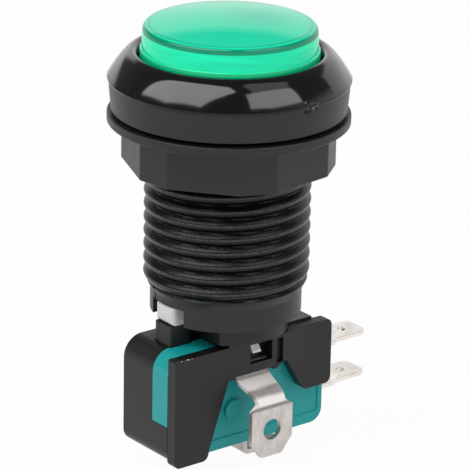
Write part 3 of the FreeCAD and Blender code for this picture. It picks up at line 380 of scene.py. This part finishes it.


# The bezel is polished; the thread and skirt are the same plastic, left as it comes from the mould.
# The thread's crests are painted paler, with a grain, as a painted highlight along each crest. The shoulder
# has a torn nick and a smaller flaw at its left.
NICK = mm(0.3, -16.86, 4.0)
NICK_END = mm(1.8, -16.8, 3.85)
FLAW = mm(-16.75, -0.7, 4.3)

black_gloss = Finish("black gloss plastic", (0.005, 0.005, 0.005), 0.16)
barrel_x, barrel_y, barrel_height = black_gloss.split(black_gloss.place)
from_axis = (barrel_x * barrel_x + barrel_y * barrel_y) ** 0.5
polish = barrel_height.step(*mm(3.9, 4.3))
on_thread = barrel_height.between(mm(-25.6, -24.8), mm(-2.0, -1.5))
nick = (black_gloss.spot(NICK, 1.5 * MM) + black_gloss.spot(NICK_END, 1.3 * MM)).clamped()
flaw = black_gloss.spot(FLAW, 0.9 * MM)
chips = black_gloss.noise(1700.0, 3.0)
ragged = (nick + flaw * 0.8) * 1.2 + (chips - 0.5) * 3.0
hurt = ragged.step(0.62, 0.72) * (nick + flaw).step(0.02, 0.12)
pale = black_gloss.noise(1900.0, 2.0).step(0.55, 0.6) * hurt
grain = black_gloss.noise(2600.0, 3.0)
fine_grain = black_gloss.noise(4200.0, 3.0)
scuffs = black_gloss.noise(700.0, 4.0, (1.0, 1.0, 2.4)).step(0.5, 0.78)
black_gloss.set("Roughness", 0.37 - polish * 0.29 - on_thread * 0.11 + scuffs * 0.03 + hurt * 0.2)
black_gloss.set("Specular IOR Level", 0.28)
black_gloss.set("Coat Weight", barrel_height.step(*mm(4.35, 4.6)) * (1.0 - hurt) * 0.55)
black_gloss.set("Coat Roughness", 0.08)
bare = black_gloss.blend((polish + on_thread).clamped(), (0.026, 0.026, 0.026), (0.002, 0.002, 0.002))
# Painted highlight: the tops of the thread's crests are paler, broken up by the grain.
crest_sheen = from_axis.step(*mm(CREST_R - 0.05, CREST_R - 0.02)) * on_thread
crest_sheen = crest_sheen * (0.4 + grain.step(0.4, 0.6) * 0.6)
bare = black_gloss.blend(crest_sheen, bare, (0.085, 0.085, 0.085))
torn = black_gloss.blend(hurt, bare, (0.001, 0.001, 0.001))
black_gloss.set("Base Color", black_gloss.blend(pale, torn, (0.13, 0.13, 0.13)))
texture = grain * (1.0 - polish) * 0.1 + fine_grain * on_thread * 0.3
black_gloss.bump(texture + hurt * -1.3, 0.14 * MM, 0.9)

barrel = as_object("button_body", bmesh.new())
thread = barrel.modifiers.new("thread", "NODES")
thread.node_group = thread_tree(black_gloss.material)
settled(barrel)

BEZEL_FOOT_R = 16.36
SHOULDER = ((16.7, 3.98), (16.9, 4.1), (16.88, 4.4))
CROWN = ((12.7, 7.51), (13.64, 9.76), (16.92, 4.34))
WELL_R = 12.7
WELL_FLOOR = 2.9
SHELF_R = 5.4
SHELF_TOP = -18.6
SHELF_FOOT = -20.0

bezel = [(CREST_R, 0.0), (BEZEL_FOOT_R, 0.0), SHOULDER[0]]
bezel += quadratic(*SHOULDER, 4)[1:]
bezel += quadratic(*CROWN, 28)[-2::-1]
bezel += [
    (WELL_R, WELL_FLOOR), (BORE_R, WELL_FLOOR), (BORE_R, SHELF_TOP), (SHELF_R, SHELF_TOP),
    (SHELF_R, SHELF_FOOT), (BORE_R, SHELF_FOOT), (BORE_R, rim), (SKIRT_R, rim),
]
bezel_shape = turned(bezel, BARREL_SEGMENTS, closed=False)
bezel_shape.from_mesh(barrel.data)
bmesh.ops.remove_doubles(bezel_shape, verts=bezel_shape.verts, dist=BARREL_MERGE_WITHIN * MM)
bezel_shape.to_mesh(barrel.data)
bezel_shape.free()

OUTSIDE_R = 18.0
BELOW_RIM = rim - 1.0
NOTCH_R = 7.75
NOTCH_WIDTH = (-3.55, 3.55)
NOTCH_TOP = rim + 2.45
MOULD_LINE_R = 10.13
MOULD_LINE_WIDTH = (2.525, 2.875)
MOULD_LINE_HEIGHT = (rim + 2.3, rim + 4.55)
GUIDE_SLOT_R = (7.6, BORE_R - 0.01)
GUIDE_SLOT_HEIGHT = (-21.0, -17.6)
GUIDE_SLOT_HALF_ANGLE = 13.0
BAYONET_R = (9.0, 10.05)
BAYONET_HEIGHT = (-27.6, -25.7)
BAYONET_ANGLES = (81.05, 118.95)
ENTRY_R = (8.9, 10.02)
ENTRY_HEIGHT = (BELOW_RIM, -26.0)
ENTRY_ANGLES = (101.15, 118.85)

cutters = [
    block((-OUTSIDE_R, -NOTCH_R), NOTCH_WIDTH, (BELOW_RIM, NOTCH_TOP)),
    block((NOTCH_R, OUTSIDE_R), NOTCH_WIDTH, (BELOW_RIM, NOTCH_TOP)),
    block((-OUTSIDE_R, -MOULD_LINE_R), MOULD_LINE_WIDTH, MOULD_LINE_HEIGHT),
]
for side in (0.0, 180.0):
    guide_angles = (side - GUIDE_SLOT_HALF_ANGLE, side + GUIDE_SLOT_HALF_ANGLE)
    bayonet_angles = [side + angle for angle in BAYONET_ANGLES]
    entry_angles = [side + angle for angle in ENTRY_ANGLES]
    cutters.append(arc_block(GUIDE_SLOT_R, GUIDE_SLOT_HEIGHT, guide_angles, 4))
    cutters.append(arc_block(BAYONET_R, BAYONET_HEIGHT, bayonet_angles, 6))
    cutters.append(arc_block(ENTRY_R, ENTRY_HEIGHT, entry_angles, 4))
cut(barrel, cutters)
shaded(barrel)
fitted(barrel, black_gloss, "barrel", "button_body")


# Clamp nut: one black moulding, a washer flange over a body with twelve flats, round the thread.
# Its edges are a little rounded, so that a light line runs along each of them.
black_matt = Finish("black matt plastic", (0.008, 0.008, 0.0085), 0.4)
matt_grain = black_matt.noise(2400.0, 4.0)
matt_cloud = black_matt.noise(260.0, 3.0)
black_matt.set("Roughness", 0.36 + matt_cloud * 0.12)
black_matt.bump(matt_grain, 0.02 * MM, 0.5)

CAD_MERGE_WITHIN = 0.004
FLAT_WITHIN_DEGREES = 0.5


def worn_copy(node, bevel, segments=2, degrees=32.0):
    """A merged copy of a CAD node's mesh; bevel, in mm, softens the edges that turn more than degrees."""
    shape = bmesh.new()
    shape.from_mesh(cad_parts[node].data)
    bmesh.ops.remove_doubles(shape, verts=shape.verts, dist=CAD_MERGE_WITHIN * MM)
    bmesh.ops.dissolve_limit(
        shape, angle_limit=math.radians(FLAT_WITHIN_DEGREES), use_dissolve_boundaries=False,
        verts=shape.verts, edges=shape.edges,
    )
    piece = as_object(node, shape)
    shaded(piece, degrees)
    if bevel > 0:
        soften = piece.modifiers.new("soften", "BEVEL")
        soften.width = bevel * MM
        soften.segments = segments
        soften.limit_method = "ANGLE"
        soften.angle_limit = math.radians(degrees)
        soften.use_clamp_overlap = True
        soften.miter_outer = "MITER_ARC"
        soften.harden_normals = True
        settled(piece)
    return piece


nut = worn_copy("clamp_nut", 0.22, 3, degrees=12.0)
fitted(nut, black_matt, "nut", "clamp_nut")


# Cap: mint green plastic with a low dome, a rounded edge and a wider foot inside the bezel's opening.
# It is moulded in one piece. A faint emission is a painted glow: it stands in for the white parts below
# shining through it.
# The rounded edge and the foot are painted darker, as painted shade where more plastic lies in the line of
# sight.
CAP_SEGMENTS = 144
DOME_STEPS = 12
CAP_FOOT_R = 12.42
CAP_FOOT_TOP = 8.5
CAP_FOOT_ROUND = 0.1
CAP_SIDE = (12.1, 10.8)
CAP_EDGE_PULL = (12.05, 11.75)
CAP_EDGE = (11.3, 11.85)
CAP_INNER_R = 10.9
CAP_INNER_TOP = 10.3
cap_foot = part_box("lens")[0].z / MM
cap_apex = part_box("lens")[1].z / MM

cap_profile = [
    (CAP_FOOT_R, cap_foot), (CAP_FOOT_R, CAP_FOOT_TOP - CAP_FOOT_ROUND),
    (12.36, CAP_FOOT_TOP), (12.2, CAP_FOOT_TOP + CAP_FOOT_ROUND),
]
cap_profile += quadratic(CAP_SIDE, CAP_EDGE_PULL, CAP_EDGE, 8)
for step in range(1, DOME_STEPS + 1):
    inward = 1 - step / DOME_STEPS
    rise = (cap_apex - CAP_EDGE[1]) * (1 - inward ** 2)
    cap_profile.append((CAP_EDGE[0] * inward, CAP_EDGE[1] + rise))
cap_profile += [(0.0, CAP_INNER_TOP), (CAP_INNER_R, CAP_INNER_TOP), (CAP_INNER_R, cap_foot)]

mint = Finish("mint plastic", (0.0, 0.85, 0.45), 0.1)
mint.set("Specular IOR Level", 0.35)
# Painted glow: a faint emission, though the cap is no lamp.
mint.set("Emission Color", (0.0, 0.05, 0.025, 1.0))
mint.set("Emission Strength", 1.0)
mint_x, mint_y, mint_z = mint.split(mint.place)
# Painted shade: a darker band round the rounded edge, and a darker ring on the foot.
edge_shade_band = mint_z.between(mm(10.86, 11.0), mm(11.62, 11.76))
foot_shade_ring = 1.0 - mint_z.step(*mm(CAP_FOOT_TOP - 0.15, CAP_FOOT_TOP))
# Painted shade: a dark line along the cap's top edge.
rim_shade_line = mint_z.between(mm(11.8, 11.84), mm(11.88, 11.92))
# Painted highlight: a brighter line along the top of the foot.
foot_highlight_line = mint_z.between(mm(8.4, 8.5), mm(8.62, 8.74))
side_streaks = mint.noise(160.0, 3.0, (1.0, 1.0, 9.0))
# Painted reflection: a soft darker spot on the dome.
dark_reflection_spot = mint.spot(mm(3.4, -2.0, 12.5), 6.0 * MM) * 0.5
from_middle = (mint_x * mint_x + mint_y * mint_y) ** 0.5
# Painted sheen: the dome is paler towards its rim.
dome_rim_sheen = from_middle.step(*mm(7.0, 11.4)) * mint_z.step(*mm(11.7, 11.9))
# Painted light: the sides are painted brighter than the top, with streaks that vary at random.
lit_side_tone = mint.blend(side_streaks.step(0.35, 0.65), (0.0, 0.92, 0.48), (0.0, 0.8, 0.44))
top_tone = mint.blend(dark_reflection_spot, (0.0, 0.68, 0.395), (0.0, 0.4, 0.31))
top_tone = mint.blend(dome_rim_sheen * 0.3, top_tone, (0.06, 0.66, 0.44))
mint_tone = mint.blend(mint_z.step(*mm(11.6, 11.9)), lit_side_tone, top_tone)
mint_tone = mint.blend(rim_shade_line * 0.5, mint_tone, (0.02, 0.3, 0.2))
mint_tone = mint.blend(foot_highlight_line * 0.6, mint_tone, (0.01, 0.68, 0.36))
mint_tone = mint.blend(edge_shade_band, mint_tone, (0.0, 0.22, 0.12))
mint_tone = mint.blend(foot_shade_ring, mint_tone, (0.0, 0.5, 0.2))
mint.set("Base Color", mint_tone)
mint.set("Roughness", 0.08 + mint.noise(900.0, 3.0).step(0.4, 0.8) * 0.05)

cap = as_object("lens", turned(cap_profile, CAP_SEGMENTS))
shaded(cap)
fitted(cap, mint, "plunger_group", "lens")


# White plunger with its two feet, and the diffuser disc under the cap.
# Both are moulded in slightly shiny white nylon; the feet stand in the notches of the skirt.
# Their edges are softened by a small bevel.
white = Finish("white plastic", (0.66, 0.66, 0.66), 0.38)
white.set("Roughness", 0.34 + white.noise(800.0, 3.0) * 0.1)
white.bump(white.noise(1800.0, 3.0), 0.015 * MM, 0.4)
plunger = worn_copy("plunger", 0.16, 3)
fitted(plunger, white, "plunger_group", "plunger")
diffuser = worn_copy("diffuser", 0.12)
fitted(diffuser, white, "plunger_group", "diffuser")


# Return spring: round steel wire, coiled by a node tree along a helix between the shelf and the plunger.
COIL_R = 6.3
WIRE_R = 0.5
COIL_TURNS = 5.0
spring_low, spring_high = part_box("return_spring")
spring_steel = Finish("spring steel", (0.5, 0.5, 0.51), 0.3, metallic=1.0)


def coil_tree(material):
    """Nodes that sweep a round wire along a helix."""
    group = bpy.data.node_groups.new("coil", "GeometryNodeTree")
    group.interface.new_socket(name="Geometry", in_out="OUTPUT", socket_type="NodeSocketGeometry")
    wire_r = WIRE_R * MM
    sizes = {
        "Coil Radius": COIL_R * MM, "Wire Radius": wire_r, "Turns": COIL_TURNS,
        "Rise": spring_high.z - spring_low.z - 2 * wire_r, "Foot": spring_low.z + wire_r,
    }
    for name, size in sizes.items():
        place = group.interface.new_socket(name=name, in_out="INPUT", socket_type="NodeSocketFloat")
        place.default_value = size
    tree = Tree(group)
    entry = group.nodes.new("NodeGroupInput")
    given = {name: Wire(entry.outputs[name]) for name in sizes}
    helix = tree.node("GeometryNodeCurveSpiral", {}, {
        "Resolution": 28, "Rotations": given["Turns"], "Start Radius": given["Coil Radius"],
        "End Radius": given["Coil Radius"], "Height": given["Rise"],
    })
    section = {"Resolution": 12, "Radius": given["Wire Radius"]}
    ring = tree.node("GeometryNodeCurvePrimitiveCircle", {}, section)
    swept = {"Curve": helix, "Profile Curve": ring, "Fill Caps": True}
    wire = tree.node("GeometryNodeCurveToMesh", {}, swept)
    lift = tree.node("ShaderNodeCombineXYZ", {}, {2: given["Foot"]})
    raised = tree.node("GeometryNodeSetPosition", {}, {"Geometry": wire, "Offset": lift})
    real = tree.node("GeometryNodeRealizeInstances", {}, {"Geometry": raised})
    last = tree.node("GeometryNodeSetMaterial", {}, {"Geometry": real, "Material": material})
    leave = group.nodes.new("NodeGroupOutput")
    feed(leave.inputs[0], last)
    return group


spring = as_object("return_spring", bmesh.new())
coil = spring.modifiers.new("coil", "NODES")
coil.node_group = coil_tree(spring_steel.material)
settled(spring)
shaded(spring)
fitted(spring, spring_steel, "barrel", "return_spring")
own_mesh(spring)


# Lamp holder: black moulding with a bayonet plug, a deck and two side plates that grip the switch.
# Its edges are a little rounded, and the top edge of the left plate has worn to pale specks.
PLATE_SETBACK = 2.95
PLATE_WORN_FROM = mm(-14.2, -13.8)
PLATE_WORN_TO = mm(-10.4, -9.9)

holder_black = Finish("holder black plastic", (0.008, 0.008, 0.008), 0.4)
holder_x, holder_y, holder_z = holder_black.split(holder_black.place)
plate_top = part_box("switch_case")[1].z + 0.1 * MM
plate_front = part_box("lamp_holder")[0].y + PLATE_SETBACK * MM
worn_edge = holder_x.between(PLATE_WORN_FROM, PLATE_WORN_TO)
worn_edge = worn_edge * holder_z.step(plate_top - 0.2 * MM, plate_top - 0.1 * MM)
worn_edge = worn_edge * (1.0 - holder_y.step(plate_front + 0.12 * MM, plate_front + 0.2 * MM))
worn_edge = worn_edge * holder_black.noise(3200.0, 3.0).step(0.56, 0.61)
holder_black.set("Base Color", holder_black.blend(worn_edge, (0.006, 0.006, 0.006), (0.4, 0.4, 0.4)))
holder_black.set("Specular IOR Level", 0.42)
holder_black.set("Roughness", 0.36 + holder_black.noise(300.0, 3.0) * 0.1)
holder_black.bump(holder_black.noise(2400.0, 4.0), 0.02 * MM, 0.5)
holder = worn_copy("lamp_holder", 0.18)
fitted(holder, holder_black, "lamp_module", "lamp_holder")


# Lamp blades: dull nickel-plated sheet, stamped and bent, with rounded edges and fine scratches along it.
# The sloping neck is painted brighter and less metallic, as a painted highlight, with a band of painted shade
# across its middle and a painted dark line of shade where the holed plate begins. The lamp's wires have the
# same finish.
NECK_START = mm(6.5, 6.8)
NECK_END = mm(52.3, 52.6)
NECK_SHADE_START = mm(47.4, 48.4)
NECK_SHADE_END = mm(49.6, 50.6)
LAST_BEND_START = mm(51.7, 52.1)
LAST_BEND_END = mm(52.3, 52.7)

nickel = Finish("nickel plated sheet", (0.66, 0.62, 0.59), 0.4, metallic=1.0)
rubbed = nickel.noise(900.0, 4.0, (1.0, 0.3, 0.5))
_, nickel_y, nickel_z = nickel.split(nickel.place)
outward = nickel_y.maths("ABSOLUTE", nickel_y)
streaks = nickel.noise(700.0, 3.0, (0.2, 1.0, 1.0))
# This sum of the distance outward and the depth grows down the slope of the neck.
along_neck = outward - nickel_z
neck = outward.step(*NECK_START) * (1.0 - along_neck.step(*NECK_END))
wavy = along_neck + (streaks - 0.5) * 2.4 * MM
neck_shade_band = wavy.between(NECK_SHADE_START, NECK_SHADE_END) * (0.6 + streaks * 0.5)
bend_shade_line = along_neck.between(LAST_BEND_START, LAST_BEND_END) * neck.step(0.0, 0.1)
# Painted highlight on the neck: brighter and less metallic; painted shade in a band across it and a dark line
# at the last bend.
nickel.set("Metallic", 1.0 - neck * 0.9)
nickel.set("Roughness", 0.42 + rubbed.step(0.35, 0.7) * 0.12)
nickel_tone = nickel.blend(rubbed.step(0.3, 0.7), (0.74, 0.69, 0.66), (0.58, 0.54, 0.515))
neck_highlight_tone = nickel.blend(neck_shade_band, (0.93, 0.88, 0.85), (0.27, 0.24, 0.23))
nickel_tone = nickel.blend(neck, nickel_tone, neck_highlight_tone)
nickel.set("Base Color", nickel.blend(bend_shade_line * 0.8, nickel_tone, (0.08, 0.065, 0.06)))
nickel.bump(rubbed, 0.02 * MM, 0.5)
for node in ("lamp_terminal_front", "lamp_terminal_back"):
    fitted(worn_copy(node, 0.12, 3), nickel, "lamp_module", node)
for node in ("lamp_lead_front", "lamp_lead_back"):
    fitted(worn_copy(node, 0.0), nickel, "lamp_module", node)


# Switch tabs: brass sheet, fixed in the housing. The two at the side have a small hole near the tip, and are
# brightly tinned, a little warm in tone. The one underneath has the darker nickel finish of the lamp blades
# instead, as painted shade: it stands in the shade under the switch.
tinned = Finish("tinned sheet", (0.94, 0.89, 0.84), 0.22, metallic=1.0)
tin_cloud = tinned.noise(500.0, 3.0)
tinned.set("Roughness", 0.2 + tin_cloud.step(0.35, 0.7) * 0.08)
tinned.set("Base Color", tinned.blend(tin_cloud.step(0.3, 0.7), (0.95, 0.91, 0.87), (0.92, 0.85, 0.79)))
tinned.bump(tinned.noise(1500.0, 3.0), 0.006 * MM, 0.3)
for node in ("nc_terminal", "no_terminal"):
    fitted(worn_copy(node, 0.06), tinned, "lamp_module", node)
# Painted shade: the common terminal takes the darker nickel finish for the shade under the switch.
fitted(worn_copy("common_terminal", 0.09), nickel, "lamp_module", "common_terminal")


# Lamp: a white wedge base that stands in the holder, with a clear light on top under the cap.
# Both are moulded, and the light has a well rounded end.
lamp_white = Finish("lamp plastic", (0.66, 0.66, 0.64), 0.4)
fitted(worn_copy("lamp_base", 0.1), lamp_white, "lamp_module", "lamp_base")
clear = Finish("clear resin", (0.8, 0.86, 0.83), 0.12)
fitted(worn_copy("lamp_led", 0.5, 4), clear, "lamp_module", "lamp_led")


# Switch housing: a black half that wraps under one corner, and a teal cover with a round boss.
# Both are moulded; the seam between them is a fine dark line. The part of the cover that shows through the
# holder's window is painted near black, as painted shade for the deep pocket behind the window.
WINDOW_LEFT = mm(-1.3, -1.2)
WINDOW_RIGHT = mm(3.6, 3.7)
WINDOW_FOOT = mm(-36.7, -36.6)
WINDOW_DEPTH = mm(-2.0, -1.0)

switch_black = Finish("switch black plastic", (0.006, 0.006, 0.006), 0.34)
switch_black.set("Specular IOR Level", 0.42)
switch_black.set("Roughness", 0.32 + switch_black.noise(300.0, 3.0) * 0.12)
switch_black.bump(switch_black.noise(2600.0, 4.0), 0.02 * MM, 0.5)
teal = Finish("teal plastic", (0.008, 0.33, 0.33), 0.3)
teal.set("Specular IOR Level", 0.4)
teal.set("Roughness", 0.28 + teal.noise(500.0, 3.0) * 0.1)
teal_tone = teal.blend(teal.noise(120.0, 2.0), (0.004, 0.31, 0.31), (0.01, 0.36, 0.36))
teal_x, teal_y, teal_z = teal.split(teal.place)
# Painted shade: the cover is near black where it shows through the holder's window.
window_shade_mask = teal_x.between(WINDOW_LEFT, WINDOW_RIGHT) * teal_z.step(*WINDOW_FOOT)
window_shade_mask = window_shade_mask * (1.0 - teal_y.step(*WINDOW_DEPTH))
teal.set("Base Color", teal.blend(window_shade_mask, teal_tone, (0.008, 0.008, 0.008)))
teal.bump(teal.noise(2200.0, 3.0), 0.012 * MM, 0.4)
fitted(worn_copy("switch_case", 0.2), switch_black, "lamp_module", "switch_case")
fitted(worn_copy("switch_cover", 0.14), teal, "lamp_module", "switch_cover")
fitted(worn_copy("switch_button", 0.14), switch_black, "switch_plunger", "switch_button")


# Works of the switch: bronze lever and leaf spring, and silver contacts. The housing hides them.
bronze = Finish("spring bronze", (0.62, 0.42, 0.24), 0.3, metallic=1.0)
silver = Finish("contact silver", (0.78, 0.77, 0.75), 0.22, metallic=1.0)
fitted(worn_copy("switch_lever", 0.05), bronze, "contact_lever", "switch_lever")
fitted(worn_copy("moving_contact", 0.08), silver, "contact_lever", "moving_contact")
leaf = worn_copy("switch_spring", 0.0)
fitted(leaf, bronze, "lamp_module", "switch_spring")
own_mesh(leaf)
for node in ("nc_contact", "no_contact"):
    fitted(worn_copy(node, 0.05), silver, "lamp_module", node)


# Floor: a plain pale studio table, on which the lowest terminal touches.
# The camera and reflections see it as white; the part's soft shadow stays on it.
FLOOR_SIZE = 3.0
floor_z = cad_low[2] - 0.02 * MM
floor_shape = bmesh.new()
corners = []
for x, y in ((-1, -1), (1, -1), (1, 1), (-1, 1)):
    corners.append(floor_shape.verts.new((x * FLOOR_SIZE, y * FLOOR_SIZE, floor_z)))
floor_shape.faces.new(corners)
floor = as_object("floor", floor_shape)
floor_finish = Finish("pale table", (0.8, 0.8, 0.8), 0.9)
rays = floor_finish.tree.nodes.new("ShaderNodeLightPath")
seen = Wire(rays.outputs["Is Camera Ray"]) * 0.96 + Wire(rays.outputs["Is Glossy Ray"]) * 0.7
seen = (seen + Wire(rays.outputs["Is Transmission Ray"]) * 0.7).clamped()
white_light = floor_finish.node("ShaderNodeEmission", {}, {"Color": (1.0, 1.0, 1.0, 1.0), "Strength": 1.0})
lit = Wire(floor_finish.shader.outputs[0])
mixed = floor_finish.node("ShaderNodeMixShader", {}, {0: seen, 1: lit, 2: white_light})
feed(floor_finish.tree.nodes["Material Output"].inputs["Surface"], mixed)
floor.data.materials.append(floor_finish.material)


# Studio light: white low round the horizon, dim above it, and two large softboxes above the part.
# The softboxes, the fainter light on the ceiling, the dim wall behind at the left and the lower edge of the
# white at the right stand where their reflections on the bezel's crown come from.
HORIZON = 0.46
UPPER_LIGHT = 0.17
LAMP_DISTANCE = 0.8
LEFT_PANEL = [
    (-0.75, -0.38), (-0.18, -0.33), (0.33, -0.14), (0.49, 0.17), (0.56, 0.4), (0.34, 0.43), (-0.36, 0.06),
]
RIGHT_PANEL = [(-0.37, 0.04), (-0.07, -0.09), (0.17, -0.14), (0.42, -0.17), (0.33, 0.06), (-0.31, 0.24)]
CEILING = [(-0.2, 0.22), (0.08, 0.14), (0.33, 0.08), (0.42, 0.3), (0.0, 0.6), (-0.16, 0.5)]

world = bpy.data.worlds.new("studio")
bpy.context.scene.world = world
world.use_nodes = True
sky = Tree(world.node_tree)
sky_x, sky_y, sky_height = sky.split(sky.node("ShaderNodeTexCoord", output="Generated"))
behind_left = (sky_y * 0.866 - sky_x * 0.5).step(0.7, 0.8)
front_right = sky_x.step(0.0, 0.1) * (0.0 - sky_y).step(0.1, 0.16)
horizon = HORIZON - front_right * (0.22 + sky_y * 0.45)
dark_wall = behind_left * sky_height.step(0.11, 0.17)
low_light = (1.0 - (sky_height - horizon).step(-0.04, 0.04)) * (1.0 - dark_wall)
camera_ray = sky.node("ShaderNodeLightPath", output="Is Camera Ray")
strength = UPPER_LIGHT + low_light * (1.0 - UPPER_LIGHT)
strength = strength + (1.0 - strength) * camera_ray
background = world.node_tree.nodes["Background"]
background.inputs["Color"].default_value = (1.0, 1.0, 1.0, 1.0)
feed(background.inputs["Strength"], strength)


def direction(azimuth, elevation):
    """A way out from the part; azimuth 0 is towards -Y and 90 towards +X, in degrees."""
    a = math.radians(azimuth)
    e = math.radians(elevation)
    return Vector((math.sin(a) * math.cos(e), -math.cos(a) * math.cos(e), math.sin(e)))


def softbox(name, azimuth, elevation, corners, strength):
    """A glowing panel at right angles to this way, with corners in units of its distance."""
    way = direction(azimuth, elevation)
    across = Vector((0, 0, 1)).cross(way).normalized()
    up = way.cross(across)
    shape = bmesh.new()
    places = [(way + across * u + up * v) * LAMP_DISTANCE for u, v in corners]
    shape.faces.new([shape.verts.new(place) for place in places])
    panel = as_object(name, shape)
    glow = Finish(name, (0.0, 0.0, 0.0), 1.0)
    glow.set("Emission Color", (1.0, 1.0, 1.0, 1.0))
    glow.set("Emission Strength", strength)
    panel.data.materials.append(glow.material)


softbox("left softbox", -95.0, 55.0, LEFT_PANEL, 4.4)
softbox("right softbox", 15.0, 46.0, RIGHT_PANEL, 3.6)
softbox("ceiling", 15.0, 46.0, CEILING, 1.2)


# Camera: a long lens at the photograph's angle, rolled by a degree as the photograph is.
# Its place and focal length, in mm and pixels, were fitted to the switch's known size.
CAMERA_AZIMUTH = -38.212
CAMERA_ELEVATION = 20.23
CAMERA_ROLL = 1.097
CAMERA_DISTANCE = 450.0
AIM_RIGHT = 1.151
AIM_HEIGHT = -18.93
FOCAL_PIXELS = 3215.9
FRAME_PIXELS = 470
SENSOR_WIDTH = 36.0

back = direction(CAMERA_AZIMUTH, CAMERA_ELEVATION)
azimuth = math.radians(CAMERA_AZIMUTH)
right = Vector((math.cos(azimuth), math.sin(azimuth), 0.0))
view = bpy.data.cameras.new("camera")
view.sensor_width = SENSOR_WIDTH
view.lens = FOCAL_PIXELS * SENSOR_WIDTH / FRAME_PIXELS
camera = bpy.data.objects.new("camera", view)
bpy.context.scene.collection.objects.link(camera)
camera.location = (right * AIM_RIGHT + Vector((0, 0, AIM_HEIGHT)) + back * CAMERA_DISTANCE) * MM
camera.rotation_euler = back.to_track_quat("Z", "Y").to_euler()
camera.rotation_euler.rotate_axis("Z", math.radians(CAMERA_ROLL))
bpy.context.scene.camera = camera
bpy.context.scene.view_settings.view_transform = "Standard"
